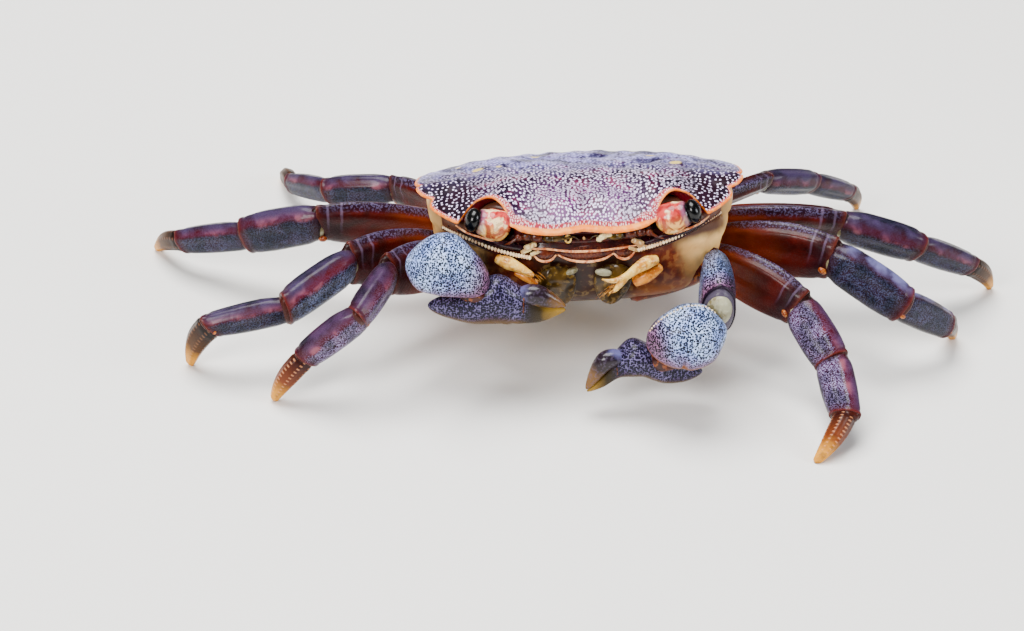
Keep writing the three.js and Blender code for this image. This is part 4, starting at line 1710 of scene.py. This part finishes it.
            def plate(s: float, t: float, side: Side = side) -> Vector:
                """A point of one jaw plate, with a groove down its front.

                Args:
                    s: How far along, 0 to 1.
                    t: How far round, 0 to 1.
                    side: Which jaw it is.

                Returns:
                    The point.
                """
                end = math.sqrt(max(0.0, 1 - abs(2 * s - 1) ** 5))
                z = mix(-3.5, -7.6, s)
                turn = TAU * t
                middle = mix(2.7, 2.3, s)
                half = swell(s, (1.4, 1.75, 0.9), 0.3) * end
                x = middle + half * math.cos(turn)
                y = mix(1.2, 2.35, smooth(0.3, 1.0, s)) - 0.42 * end * math.sin(turn)
                y -= 0.16 * bump(x, middle + 0.5 * half, 0.25) * (math.sin(turn) > 0)
                return side.at(x, y, z)

            bm = wrap(40, 40, plate, {"along": lambda s, t: s})
            word = side.word
            shop.piece(f"maxilliped_{word}_plate", bm, Finishes.OLIVE, [f"maxilliped_{word}"], True)
        # two pale balls in the mouth: the inner jaws, made pale as a painted highlight of a wet glint
        teeth = [
            ball((1.7, 0.8, -4.2), (0.8, 0.35, 0.34), Matrix.Rotation(0.15, 3, "Y"), 3),
            ball((-1.3, 1.15, -4.1), (0.7, 0.35, 0.3), Matrix.Rotation(-0.3, 3, "Y"), 3),
        ]
        shop.piece("inner_jaws", gathered(teeth), Finishes.MEMBRANE, (), True)
        amber = [
            tube(((4.6, 0.9, -5.2), (5.6, 0.9, -4.7), (6.9, 1.1, -4.0)), (0.5, 0.66, 0.4), 20, 20),
            tube(((-6.3, 1.1, -4.0), (-5.4, 0.9, -4.4), (-4.5, 0.9, -5.0)), (0.25, 0.4, 0.3), 20, 20),
        ]
        shop.piece("jaw_joints", gathered(amber), Finishes.AMBER, (), True)

    def _build_palps(self, shop: Workshop) -> None:
        """The bristled palps of the outer jaws.

        Args:
            shop: The workshop.
        """
        upper, branch = (0.45, 0.62, 0.44, 0.26), (0.34, 0.3, 0.2, 0.07)
        arms = {
            Side.RIGHT: (((-7.9, 1.0, -2.6), (-7.0, 0.6, -2.9), (-5.9, 0.4, -3.4), (-4.8, 0.3, -4.1)),),
            Side.LEFT: (
                ((6.5, 0.5, -3.1), (5.6, 0.1, -3.3), (4.4, -0.3, -3.9), (3.3, -0.6, -4.7)),
                ((4.2, -0.4, -4.0), (3.2, -0.7, -4.5), (2.3, -0.9, -4.6), (1.5, -1.0, -4.4)),
                ((3.6, -0.5, -4.5), (3.0, -0.8, -5.1), (2.6, -0.9, -5.5), (2.1, -1.0, -5.7)),
            ),
        }
        tips = {Side.RIGHT: (-4.8, 0.3, -4.1), Side.LEFT: (2.6, -0.9, -5.3)}
        chance = random.Random(HAIR_SEED)
        for side, lines in arms.items():
            word = side.word
            strands = [tube(line, branch if i else upper, 26, 12) for i, line in enumerate(lines)]
            arm = gathered(strands)
            shop.piece(f"palp_{word}_arm", arm, Finishes.YELLOW, [f"palp_{word}"], True)
            hairs = []
            for _ in range(9):
                stray = (chance.uniform(-0.5, 0.5), chance.uniform(-0.1, 0.2), chance.uniform(-0.2, 0.4))
                start = Vector(tips[side]) + Vector(stray)
                reach = Vector((-side.value * chance.uniform(0.5, 1.3), -0.2, -chance.uniform(0.4, 1.0)))
                line = (start, start + 0.5 * reach, start + reach + Vector((0, 0, -0.15)))
                hairs.append(tube(line, (0.045, 0.03, 0.015), 5, 5))
            shop.piece(f"palp_{word}_bristles", gathered(hairs), Finishes.BRISTLE, (), True)

    def build(self, shop: Workshop) -> None:
        """Makes the whole mouth.

        Args:
            shop: The workshop.
        """
        self._build_lips(shop)
        self._build_blocks(shop)
        self._build_feelers(shop)
        self._build_jaws(shop)
        self._build_palps(shop)


# ---------------- limbs


@dataclass(frozen=True)
class Shape:
    """How an article swells, as parts of its depth, and what its surface carries."""

    above: Point
    below: Point
    thick: Point
    peak: float
    keel: float = 0.0
    ribs: int = 0
    rib_depth: float = 0.0
    socket: bool = True
    knuckle: float = 0.7


class Part(Enum):
    """The articles of a walking leg, from the body outwards."""

    MERUS = 0
    CARPUS = 1
    PROPODUS = 2
    DACTYL = 3

    @property
    def word(self) -> str:
        """The article's name as the nodes spell it."""
        return self.name.lower()


LEG_SHAPES = {
    Part.MERUS: Shape((0.3, 0.56, 0.4), (0.28, 0.44, 0.36), (0.4, 0.44, 0.4), 0.62, 0.05),
    Part.CARPUS: Shape((0.56, 0.62, 0.53), (0.5, 0.53, 0.48), (0.76, 0.8, 0.7), 0.6, 0.05, knuckle=0.92),
    Part.PROPODUS: Shape((0.56, 0.56, 0.45), (0.5, 0.5, 0.42), (0.76, 0.78, 0.66), 0.4, 0.05, knuckle=0.94),
    Part.DACTYL: Shape(
        (0.6, 0.56, 0.16), (0.58, 0.5, 0.16), (1.0, 0.88, 0.3), 0.22, 0.0, 7, 0.04, False, 0.86,
    ),
}
KNUCKLE_END, WALL_END, LIP_END = 0.1, 0.78, 0.86
WALL_START, WALL_REACH, CAP_WIDTH = 0.03, 0.985, 0.92


@dataclass
class Article:
    """One article of a limb between two joints, in millimetres in the stand frame."""

    start: Vector
    end: Vector
    depth: float
    lean: float
    side: Side
    shape: Shape
    bow: float = 0.0
    before: Vector | None = None
    after: Vector | None = None
    rows: int = 64
    sides: int = 44

    def __post_init__(self) -> None:
        """Works out the article's own frame: X along it, Z to its upper edge."""
        self.length = (self.end - self.start).length
        axis = (self.end - self.start).normalized()
        up = (Vector((0, 0, 1)) - axis * axis.z).normalized()
        front = axis.cross(up) * self.side.value
        lean = math.radians(self.lean)
        upper = up * math.cos(lean) + front * math.sin(lean)
        across = upper.cross(axis)
        frame = Matrix((axis, across, upper)).transposed().to_4x4()
        self.frame = Matrix.Translation(self.start) @ frame
        self.start_cut = self._mitre(self.before)
        self.end_cut = self._mitre(self.after)

    def _mitre(self, neighbour: Vector | None) -> Vector | None:
        """The direction of the plane between this article and its neighbour, in its own frame.

        Args:
            neighbour: The neighbour's direction.

        Returns:
            The direction, if there is a neighbour.
        """
        if neighbour is None:
            return None
        whole = ((self.end - self.start).normalized() + neighbour.normalized()).normalized()
        return self.frame.to_3x3().inverted() @ whole

    def _profile(self, u: float) -> tuple[float, float]:
        """The skin's outline, from the knuckle to the foot of the socket.

        Args:
            u: How far along, 0 to 1.

        Returns:
            How far along it is and how wide, as parts of the article's own.
        """
        first = self.shape.knuckle
        if u < KNUCKLE_END:
            turn = math.pi / 2 * u / KNUCKLE_END
            knuckle = 0.16 * self.depth / self.length
            return mix(-knuckle, WALL_START, 1 - math.cos(turn)), first * math.sin(turn)
        if not self.shape.socket:
            part = (u - KNUCKLE_END) / (1 - KNUCKLE_END)
            tip = math.sqrt(max(0.0, 1 - smooth(0.9, 1.0, part) ** 2))
            return mix(WALL_START, 1.0, part), mix(first, 1.0, smooth(0.0, 0.1, part)) * tip
        if u < WALL_END:
            part = (u - KNUCKLE_END) / (WALL_END - KNUCKLE_END)
            wide = mix(first, 1.0, smooth(0.0, 0.14, part) ** 0.8)
            wide *= 1 - 0.03 * bump(part, 0.94, 0.02) + 0.02 * smooth(0.955, 0.985, part)
            return mix(WALL_START, WALL_REACH, part), wide
        if u < LIP_END:
            turn = math.pi * (u - WALL_END) / (LIP_END - WALL_END)
            return WALL_REACH + 0.012 * math.sin(turn), mix(1.02, CAP_WIDTH, (1 - math.cos(turn)) / 2)
        turn = math.pi / 2 * (u - LIP_END) / (1 - LIP_END)
        dome = 0.2 * self.depth / self.length
        return WALL_REACH + dome * math.sin(turn), CAP_WIDTH * math.cos(turn)

    def _ring(self, s: float, t: float) -> tuple[float, float]:
        """A point of the section at s.

        Args:
            s: How far along, 0 to 1.
            t: How far round, 0 to 1.

        Returns:
            How far across and how far up it is, in millimetres.
        """
        turn = TAU * t
        up, over = math.cos(turn), math.sin(turn)
        rise = swell(s, self.shape.above if up > 0 else self.shape.below, self.shape.peak) * self.depth
        half = swell(s, self.shape.thick, self.shape.peak) * self.depth / 2
        ridges = 1 + self.shape.rib_depth * math.cos(self.shape.ribs * turn) * (self.shape.ribs > 0)
        edge = self.shape.keel * self.depth
        keel = edge * (bump(turn, 0.0, 0.3) + bump(turn, TAU, 0.3)) * smooth(0.02, 0.25, s)
        shoulder = edge * 0.7 * (bump(turn, 0.85, 0.22) + bump(turn, TAU - 0.85, 0.22)) * smooth(0.05, 0.3, s)
        shoulder *= smooth(1.0, 0.85, s)
        groove = edge * 0.8 * (bump(turn, 1.35, 0.2) + bump(turn, TAU - 1.35, 0.2)) * bump(s, 0.55, 0.4)
        grow = ridges + (shoulder - groove) / max(half, 0.1)
        y = -math.copysign(abs(over) ** 0.88, over) * half * grow
        z = math.copysign(abs(up) ** 0.92, up) * rise * grow + keel
        return y, z

    def place(self, u: float, t: float) -> Vector:
        """A point of the article's skin in the stand frame.

        Args:
            u: How far along, 0 to 1.
            t: How far round, 0 to 1.

        Returns:
            The point.
        """
        s, wide = self._profile(u)
        y, z = self._ring(s, t)
        y, z = y * wide, z * wide
        arch = self.bow * self.length * 4 * s * (1 - s)
        point = Vector((s * self.length, y, z + arch))
        flat = Vector((0, y, z))
        for cut, weight in ((self.start_cut, (1 - s) ** 2), (self.end_cut, s * s)):
            if cut is not None:
                point.x -= cut.dot(flat) / cut.x * weight
        return self.frame @ point

    def marks(self) -> dict[str, Mark]:
        """What each point of the skin keeps for its finish.

        Returns:
            The marks by name.
        """
        return {
            "along": lambda u, t: min(1.0, max(0.0, self._profile(u)[0])),
            "upper": lambda u, t: math.cos(TAU * t),
            "front": lambda u, t: self.side.value * math.sin(TAU * t),
            "ribs": lambda u, t: 0.5 + 0.5 * math.cos(self.shape.ribs * TAU * t),
            "rim": lambda u, t: smooth(0.76, 0.775, u) if self.shape.socket else 0.0,
            "cap": lambda u, t: smooth(0.84, 0.875, u) if self.shape.socket else 0.0,
        }

    def skin(self) -> bmesh.types.BMesh:
        """The article as a closed skin."""
        return wrap(self.rows, self.sides, self.place, self.marks())


@dataclass(frozen=True)
class Stance:
    """How one leg is held, in degrees: turns from straight out, rises and leans of its articles."""

    headings: Sequence[float]
    pitches: Sequence[float]
    leans: Sequence[float]


@dataclass
class Leg:
    """One walking leg: its hip in the body frame, and the length and depth of each article."""

    number: int
    side: Side
    hip: Point
    lengths: Sequence[float]
    depths: Sequence[float]
    stance: Stance
    dactyl_bow: float = 0.08

    def joints(self) -> list[Vector]:
        """The leg's joints in the stand frame, from the hip to the foot on the floor.

        Returns:
            The joints.
        """
        joints = [ATTITUDE.body() @ self.side.at(*self.hip)]
        for i, length in enumerate(self.lengths):
            heading = math.radians(self.stance.headings[i])
            last = i == len(self.lengths) - 1
            pitch = -math.asin(joints[i].z / length) if last else math.radians(self.stance.pitches[i])
            step = Vector((self.side.value * math.cos(heading), math.sin(heading), math.tan(pitch)))
            joints.append(joints[i] + step.normalized() * length)
        return joints

    def build(self, shop: Workshop) -> None:
        """Makes the leg's four articles, its membranes and knobs, and its short first articles.

        Args:
            shop: The workshop.
        """
        joints = self.joints()
        steps = [b - a for a, b in zip(joints, joints[1:])]
        name = f"leg{self.number}_{self.side.word}"
        articles = []
        for part in Part:
            i = part.value
            article = Article(
                joints[i], joints[i + 1], self.depths[i], self.stance.leans[i], self.side, LEG_SHAPES[part],
                self.dactyl_bow if part is Part.DACTYL else 0.0,
                steps[i - 1] if i else None, steps[i + 1] if i < 3 else None,
                sides=56 if part is Part.DACTYL else 44,
            )
            articles.append(article)
            node = f"{name}_{part.word}"
            shop.piece(f"{node}_skin", article.skin(), self._finish(part), [node])
        self._build_joints(shop, name, joints, articles)
        self._build_root(shop, name)

    def _finish(self, part: Part) -> Finish:
        """What an article is dressed in; the front legs are the most speckled.

        Args:
            part: Which article it is.

        Returns:
            The finish.
        """
        if part is Part.MERUS:
            return Finishes.MERUS
        if part is Part.DACTYL:
            return Finishes.HORN_BEADED if self.number == 1 else Finishes.HORN
        if self.number == 1:
            return Finishes.LEG_SPECKLED
        if self.number == 2 and self.side is Side.LEFT:
            # the left second leg gets the stronger painted sheen on top
            return Finishes.LEG_DUSTED
        marked = self.number == 2 and part is Part.CARPUS
        return Finishes.LEG_MARKED if marked else Finishes.LEG

    def _build_joints(
        self, shop: Workshop, name: str, joints: list[Vector], articles: list[Article]
    ) -> None:
        """The soft membrane in each joint, and the orange knobs that it turns on.

        Args:
            shop: The workshop.
            name: How the pieces' names start.
            joints: The joints, hip first.
            articles: The articles, inner one first.
        """
        membranes, knobs = [], []
        for i in range(1, 4):
            size = 0.5 * min(self.depths[i - 1], self.depths[i] * 1.25)
            turn = articles[i].frame.to_3x3()
            membranes.append(ball(joints[i], (0.42 * size, 0.5 * size, 0.62 * size), turn, 3))
            for across in (-1, 1):
                offset = turn @ Vector((-0.12 * size, across * 0.42 * size, -0.5 * size))
                knobs.append(ball(joints[i] + offset, (0.2 * size, 0.12 * size, 0.14 * size), turn, 2))
        shop.piece(f"{name}_membranes", gathered(membranes), Finishes.MEMBRANE)
        shop.piece(f"{name}_knobs", gathered(knobs), Finishes.CONDYLE)

    def _build_root(self, shop: Workshop, name: str) -> None:
        """The coxa and the ring after it, which join the leg to the body.

        Args:
            shop: The workshop.
            name: How the pieces' names start.
        """
        hip = self.side.at(*self.hip)
        root = Vector((self.side.value * 5.5, mix(hip.y, 12.0, 0.3), hip.z - 0.9))
        step = (hip - root).normalized()
        inner = tube([hip - step * 3.6, hip - step * 2.4, hip - step * 1.3], (1.35, 1.6, 1.4), 16, 24)
        outer = tube([hip - step * 1.7, hip - step * 0.6, hip + step * 0.5], (1.1, 1.3, 1.2), 16, 24)
        shop.piece(f"{name}_root", gathered([inner, outer]), Finishes.ROOT, (), True)


LEG_BUILDS = (
    ((11.0, 10.5, -5.2), (11.3, 6.0, 6.3, 5.5), (4.9, 3.3, 3.2, 2.1)),
    ((12.0, 14.0, -5.0), (12.6, 7.7, 6.9, 5.8), (5.2, 3.6, 2.9, 2.15)),
    ((11.5, 17.5, -3.7), (13.8, 7.6, 7.3, 5.9), (5.0, 3.7, 2.9, 1.9)),
    ((9.5, 20.5, -3.8), (10.8, 6.8, 6.4, 5.5), (4.2, 2.9, 2.5, 1.75)),
)
STANCES = {
    Side.RIGHT: (
        Stance((-51, -67, -2, -8), (15, -14, -45), (-8, 15, 35, 35)),
        Stance((-40, -43, -9, 35), (11, -17, -14), (-5, 15, 20, 10)),
        Stance((-16, 15, 22, 52), (7.5, -23, -21), (15, 15, 20, 20)),
        Stance((38, 12, 50, 75), (-3.5, -13, -19), (20, 20, 20, 10)),
    ),
    Side.LEFT: (
        Stance((-32, -51, -78, -122), (-9, -31, -20), (-8, -30, -50, -50)),
        Stance((-20, -20, 35, 71), (7, -23, -33), (-5, -10, -15, -15)),
        Stance((2, 2, 30, 46), (1.5, -15, -28), (30, 35, 35, 20)),
        Stance((38, 41, 44, 66), (4, -18, -27), (45, 45, 45, 20)),
    ),
}


# ---------------- claws


@dataclass(frozen=True)
class Lobe:
    """A rounded form round a bent middle line, in millimetres in the stand frame.

    The heights above and below the line and the widths are given at equal steps along it; blunt
    says how square its two ends are.
    """

    line: Sequence[Point]
    above: Sequence[float]
    below: Sequence[float]
    out: Sequence[float]
    blunt: tuple[float, float] = (2.4, 2.4)
    sole: float = 0.9
    dent: Point | None = None

    def axes(self) -> tuple[Vector, Vector]:
        """The directions across it and upwards.

        Returns:
            Both directions.
        """
        axis = (Vector(self.line[-1]) - Vector(self.line[0])).normalized()
        up = (Vector((0, 0, 1)) - axis * axis.z).normalized()
        return up.cross(axis), up

    def part(self, s: float) -> float:
        """How far along the middle line the row at s lies; rows crowd towards the ends."""
        return mix(s, (1 - math.cos(math.pi * s)) / 2, 0.85)

    def place(self, s: float, t: float) -> Vector:
        """A point of the skin.

        Args:
            s: How far along, 0 to 1.
            t: How far round, 0 to 1.

        Returns:
            The point.
        """
        across, up = self.axes()
        part = self.part(s)
        blunt = self.blunt[0] if part < 0.5 else self.blunt[1]
        end = math.sqrt(max(0.0, 1 - abs(2 * part - 1) ** blunt))
        turn = TAU * t
        high, wide = math.cos(turn), math.sin(turn)
        height = curve_level(self.above if high > 0 else self.below, part)
        width = curve_level(self.out, part)
        power = 0.94 if high > 0 else self.sole
        if self.dent:
            where, low, depth = self.dent
            end *= 1 - depth * bump(part, where, 0.035) * bump(high, low, 0.5) * smooth(0.2, 0.6, abs(wide))
        z = math.copysign(abs(high) ** power, high) * height * end
        y = -math.copysign(abs(wide) ** 0.92, wide) * width * end
        return curve_point(self.line, part) + across * y + up * z

    def marks(self, **more: Mark) -> dict[str, Mark]:
        """What each point keeps for its finish.

        Args:
            more: Marks that only this lobe has.

        Returns:
            The marks by name.
        """
        common: dict[str, Mark] = {
            "along": lambda s, t: self.part(s),
            "upper": lambda s, t: math.cos(TAU * t),
            "front": lambda s, t: -self._depth(t),
        }
        return {**common, **more}

    def _depth(self, t: float) -> float:
        """Where a point of the ring at t lies from front, -1, to back, 1."""
        across, _ = self.axes()
        return -math.sin(TAU * t) * math.copysign(1, across.y)

    def ring(self, s: float, first: float, last: float, radius: float) -> bmesh.types.BMesh:
        """A raised band across the skin at s, between two turns round it."""
        points = [self.place(s, mix(first, last, i / 8)) for i in range(9)]
        return tube(points, (radius * 0.5, radius, radius, radius * 0.5), 40, 10)


@dataclass
class Cheliped:
    """One claw arm: merus, wrist, palm with its fixed finger, and the moving finger."""

    side: Side
    coxa: Point
    elbow: tuple[Point, Point]
    arm_depth: float
    wrist: Lobe
    hand: Lobe
    finger: Lobe
    hinge: Sequence[Point]
    granules: int = 0

    def _build_arm(self, shop: Workshop, name: str) -> None:
        """The root, the upper arm with its dark double rim, and the soft skin of the elbow.

        Args:
            shop: The workshop.
            name: How the pieces' names start.
        """
        start, end = (Vector(p) for p in self.elbow)
        coxa = ATTITUDE.body() @ self.side.at(*self.coxa)
        root = tube([coxa, coxa.lerp(start, 0.55) + Vector((0, 0, -0.5)), start], (1.7, 1.6, 1.35), 24, 28)
        shop.piece(f"{name}_root", root, Finishes.ROOT)
        arm = Article(start, end, self.arm_depth, 0.0, self.side, UPPER_ARM, rows=80, sides=64)
        shop.piece(f"{name}_merus_skin", arm.skin(), Finishes.ARM, [f"{name}_merus"])
        size = self.arm_depth / 2
        middle = end + arm.frame.to_3x3() @ Vector((0.15, 0.0, 0.25)) * size
        soft = ball(middle, (size * 0.4, size * 0.4, size * 0.55), arm.frame.to_3x3(), 4)
        shop.piece(f"{name}_elbow_membrane", soft, Finishes.MEMBRANE)

    def _build_wrist(self, shop: Workshop, name: str) -> None:
        """The big speckled wrist with its orange lower rim, its granules and the hinge below it.

        Args:
            shop: The workshop.
            name: How the pieces' names start.
        """
        lobe = self.wrist
        marks = lobe.marks(rim=lambda s, t: smooth(-0.6, -0.78, math.cos(TAU * t)) * smooth(0.1, 0.3, s))
        bm = wrap(120, 96, lobe.place, marks)
        shop.piece(f"{name}_wrist_skin", bm, Finishes.WRIST, [f"{name}_carpus"])
        hinge = tube(self.hinge, (1.0, 1.15, 1.0), 20, 28)
        shop.piece(f"{name}_wrist_hinge", hinge, Finishes.HINGE)
        if self.granules:
            front = 0.012 if lobe.axes()[0].y < 0 else -0.012
            grains = []
            for i in range(self.granules):
                at = lobe.place(mix(0.22, 0.86, i / (self.granules - 1)), front % 1.0)
                grains.append(ball(at, (0.11, 0.09, 0.09), None, 2))
            shop.piece(f"{name}_wrist_granules", gathered(grains), Finishes.BEAD)

    def _build_hand(self, shop: Workshop, name: str) -> None:
        """The palm with its fixed finger as one skin, and the orange band where the finger moves.

        Args:
            shop: The workshop.
            name: How the pieces' names start.
        """
        lobe = self.hand
        marks = lobe.marks(
            seam=lambda s, t: smooth(-0.3, -0.75, math.cos(TAU * t)),
            finger=lambda s, t: smooth(0.64, 0.76, lobe.part(s)),
        )
        bm = wrap(120, 80, lobe.place, marks)
        shop.piece(f"{name}_palm_skin", bm, Finishes.PALM, [f"{name}_palm"])
        front = 1 if lobe.axes()[0].y > 0 else -1
        band = lobe.ring(0.635, 0.04 * front, 0.27 * front, 0.07)
        shop.piece(f"{name}_palm_band", band, Finishes.HINGE)

    def _build_finger(self, shop: Workshop, name: str) -> None:
        """The moving finger and the blunt teeth under it.

        Args:
            shop: The workshop.
            name: How the pieces' names start.
        """
        lobe = self.finger
        bm = wrap(70, 48, lobe.place, lobe.marks())
        shop.piece(f"{name}_dactyl_skin", bm, Finishes.FINGER, [f"{name}_dactyl"])
        teeth = []
        for i in range(5):
            low = lobe.place(mix(0.5, 0.8, i / 4), 0.5)
            size = mix(0.2, 0.12, i / 4)
            teeth.append(ball(low, (size, size, size), None, 2))
        shop.piece(f"{name}_teeth", gathered(teeth), Finishes.CREAM)

    def build(self, shop: Workshop) -> None:
        """Makes the arm."""
        for build in (self._build_arm, self._build_wrist, self._build_hand, self._build_finger):
            build(shop, f"cheliped_{self.side.word}")


UPPER_ARM = Shape((0.22, 0.5, 0.48), (0.22, 0.5, 0.48), (0.32, 0.56, 0.54), 0.85, 0.03)
RIGHT_CLAW = Cheliped(
    Side.RIGHT,
    coxa=(4.6, 5.6, -6.6),
    elbow=((-6.8, 1.0, 6.9), (-12.9, -0.7, 13.2)),
    arm_depth=3.0,
    wrist=Lobe(
        line=(
            (-15.9, -2.2, 13.5), (-13.9, -2.7, 13.7), (-12.1, -3.2, 13.9), (-10.2, -3.5, 13.2),
            (-8.2, -3.5, 12.1),
        ),
        above=(2.3, 3.05, 2.85, 2.1, 1.35),
        below=(2.3, 2.85, 2.9, 2.1, 1.3),
        out=(1.9, 2.4, 2.4, 1.9, 1.2),
        blunt=(2.7, 7.0),
        sole=0.48,
    ),
    hand=Lobe(
        line=(
            (-13.7, -2.5, 9.0), (-11.6, -2.5, 9.2), (-9.5, -2.6, 9.6), (-7.4, -2.6, 10.2), (-5.3, -2.4, 9.8),
            (-3.2, -2.5, 9.3), (-1.1, -2.5, 9.6),
        ),
        above=(1.1, 1.4, 1.9, 2.45, 1.7, 1.0, 0.5),
        below=(1.3, 1.5, 1.9, 2.3, 1.9, 1.1, 0.5),
        out=(0.9, 1.4, 1.75, 1.8, 1.45, 0.8, 0.4),
        blunt=(3.0, 5.0),
    ),
    finger=Lobe(
        line=((-5.9, -2.4, 10.6), (-3.6, -2.6, 10.9), (-1.1, -2.5, 9.95)),
        above=(1.25, 1.0, 0.35),
        below=(1.0, 1.0, 0.3),
        out=(1.05, 0.85, 0.3),
        blunt=(3.0, 4.0),
    ),
    hinge=((-11.2, -2.9, 12.0), (-9.7, -3.1, 11.2), (-8.4, -3.1, 10.9)),
)
LEFT_CLAW = Cheliped(
    Side.LEFT,
    coxa=(4.6, 5.6, -6.6),
    elbow=((12.3, 5.0, 12.0), (12.75, -2.5, 10.5)),
    arm_depth=6.0,
    wrist=Lobe(
        line=((13.6, -4.2, 9.8), (11.8, -4.8, 9.5), (10.0, -5.3, 9.3), (8.2, -5.7, 9.0), (6.4, -6.0, 8.7)),
        above=(2.1, 3.2, 3.1, 2.45, 1.5),
        below=(2.1, 3.1, 3.1, 2.5, 1.5),
        out=(1.9, 2.6, 2.6, 2.1, 1.3),
        blunt=(2.2, 6.0),
        sole=0.8,
        dent=(0.6, -0.75, 0.14),
    ),
    hand=Lobe(
        line=(
            (11.9, -2.2, 4.0), (9.8, -2.6, 4.2), (7.7, -3.2, 4.9), (5.6, -3.8, 5.8), (4.0, -4.2, 5.1),
            (2.7, -4.5, 3.6), (1.4, -4.9, 2.5),
        ),
        above=(1.0, 1.4, 1.7, 1.85, 1.3, 0.8, 0.35),
        below=(1.1, 1.4, 1.7, 1.7, 1.1, 0.7, 0.35),
        out=(1.0, 1.5, 1.75, 1.8, 1.2, 0.7, 0.35),
        blunt=(3.0, 5.0),
    ),
    finger=Lobe(
        line=((4.6, -4.2, 6.4), (2.9, -4.7, 5.7), (1.3, -5.0, 2.8)),
        above=(1.1, 1.0, 0.45),
        below=(0.9, 0.8, 0.3),
        out=(1.0, 0.85, 0.4),
        blunt=(3.0, 4.0),
    ),
    hinge=((9.4, -4.5, 7.0), (8.3, -4.3, 6.2), (7.3, -4.0, 5.9)),
    granules=22,
)


# ---------------- studio


@dataclass(frozen=True)
class Lamp:
    """A soft rectangular lamp: where it stands, what it points at, its size and its strength."""

    name: str
    place: Point
    aim: Point
    size: float
    watts: float
    colour: Point = (1.0, 1.0, 1.0)


@dataclass
class Studio:
    """The plain pale floor, the lamps, the sky and the camera."""

    floor_size: float = 3.0
    eye: Point = (-5.97, -304.23, 189.86)
    right: Point = (0.9974, 0.0374, 0.0623)
    up: Point = (-0.0726, 0.5137, 0.8549)
    lens: float = 135.35
    sensor: float = 36.0
    sky: Sequence[float] = (0.95, 0.97, 1.0, 1.0)
    sky_strength: float = 0.17
    lamps: Sequence[Lamp] = (
        Lamp("lamp_over", (-0.08, 0.05, 0.42), (0.0, 0.0, 0.01), 0.3, 4.9, (1.0, 0.99, 0.97)),
        Lamp("lamp_front", (-0.22, -0.34, 0.26), (0.0, 0.0, 0.01), 0.16, 2.5, (1.0, 0.98, 0.96)),
        Lamp("lamp_side", (0.36, -0.1, 0.18), (0.0, 0.0, 0.01), 0.16, 1.2, (0.93, 0.96, 1.0)),
    )

    def _build_floor(self) -> None:
        """The floor."""
        bm = bmesh.new()
        bmesh.ops.create_grid(bm, x_segments=1, y_segments=1, size=self.floor_size / 2)
        mesh = bpy.data.meshes.new("floor")
        bm.to_mesh(mesh)
        bm.free()
        mesh.materials.append(Finishes.FLOOR.material())
        floor = bpy.data.objects.new("floor", mesh)
        bpy.context.scene.collection.objects.link(floor)

    def _build_lamps(self) -> None:
        """The lamps and the even sky."""
        for lamp in self.lamps:
            data = bpy.data.lights.new(lamp.name, "AREA")
            data.size = lamp.size
            data.energy = lamp.watts
            data.color = lamp.colour
            light = bpy.data.objects.new(lamp.name, data)
            light.location = lamp.place
            aim = Vector(lamp.aim) - Vector(lamp.place)
            light.rotation_euler = aim.to_track_quat("-Z", "Y").to_euler()
            bpy.context.scene.collection.objects.link(light)
        world = bpy.data.worlds.new("studio_sky")
        world.use_nodes = True
        background = world.node_tree.nodes["Background"]
        background.inputs["Color"].default_value = self.sky
        background.inputs["Strength"].default_value = self.sky_strength
        bpy.context.scene.world = world

    def _build_camera(self) -> None:
        """The camera."""
        data = bpy.data.cameras.new("camera")
        data.lens = self.lens
        data.sensor_width = self.sensor
        data.clip_start = 0.01
        camera = bpy.data.objects.new("camera", data)
        right, up = Vector(self.right).normalized(), Vector(self.up).normalized()
        turn = Matrix((right, up, right.cross(up))).transposed().to_4x4()
        place = (Vector(self.eye) + Vector(ATTITUDE.origin)) * MM
        camera.matrix_world = Matrix.Translation(place) @ turn
        bpy.context.scene.collection.objects.link(camera)
        bpy.context.scene.camera = camera

    def build(self) -> None:
        """Sets the studio up."""
        self._build_floor()
        self._build_lamps()
        self._build_camera()


def main() -> None:
    """Builds the crab and its studio, one piece after another."""
    logging.basicConfig(level=logging.INFO, format="%(name)s: %(message)s")
    shop = Workshop()
    shell = Shell()
    shell.build(shop)
    Body(shell).build(shop)
    for side, sag in ((Side.RIGHT, 0.35), (Side.LEFT, 0.0)):
        Eye(side).build(shop)
        Brow(side, sag=sag).build(shop)
    Mouth().build(shop)
    for claw in (RIGHT_CLAW, LEFT_CLAW):
        claw.build(shop)
    for side, stances in STANCES.items():
        for number, (sizes, stance) in enumerate(zip(LEG_BUILDS, stances), 1):
            Leg(number, side, *sizes, stance).build(shop)
    Studio().build()
    LOG.info("%d pieces", shop.made)


if __name__ == "__main__":
    main()
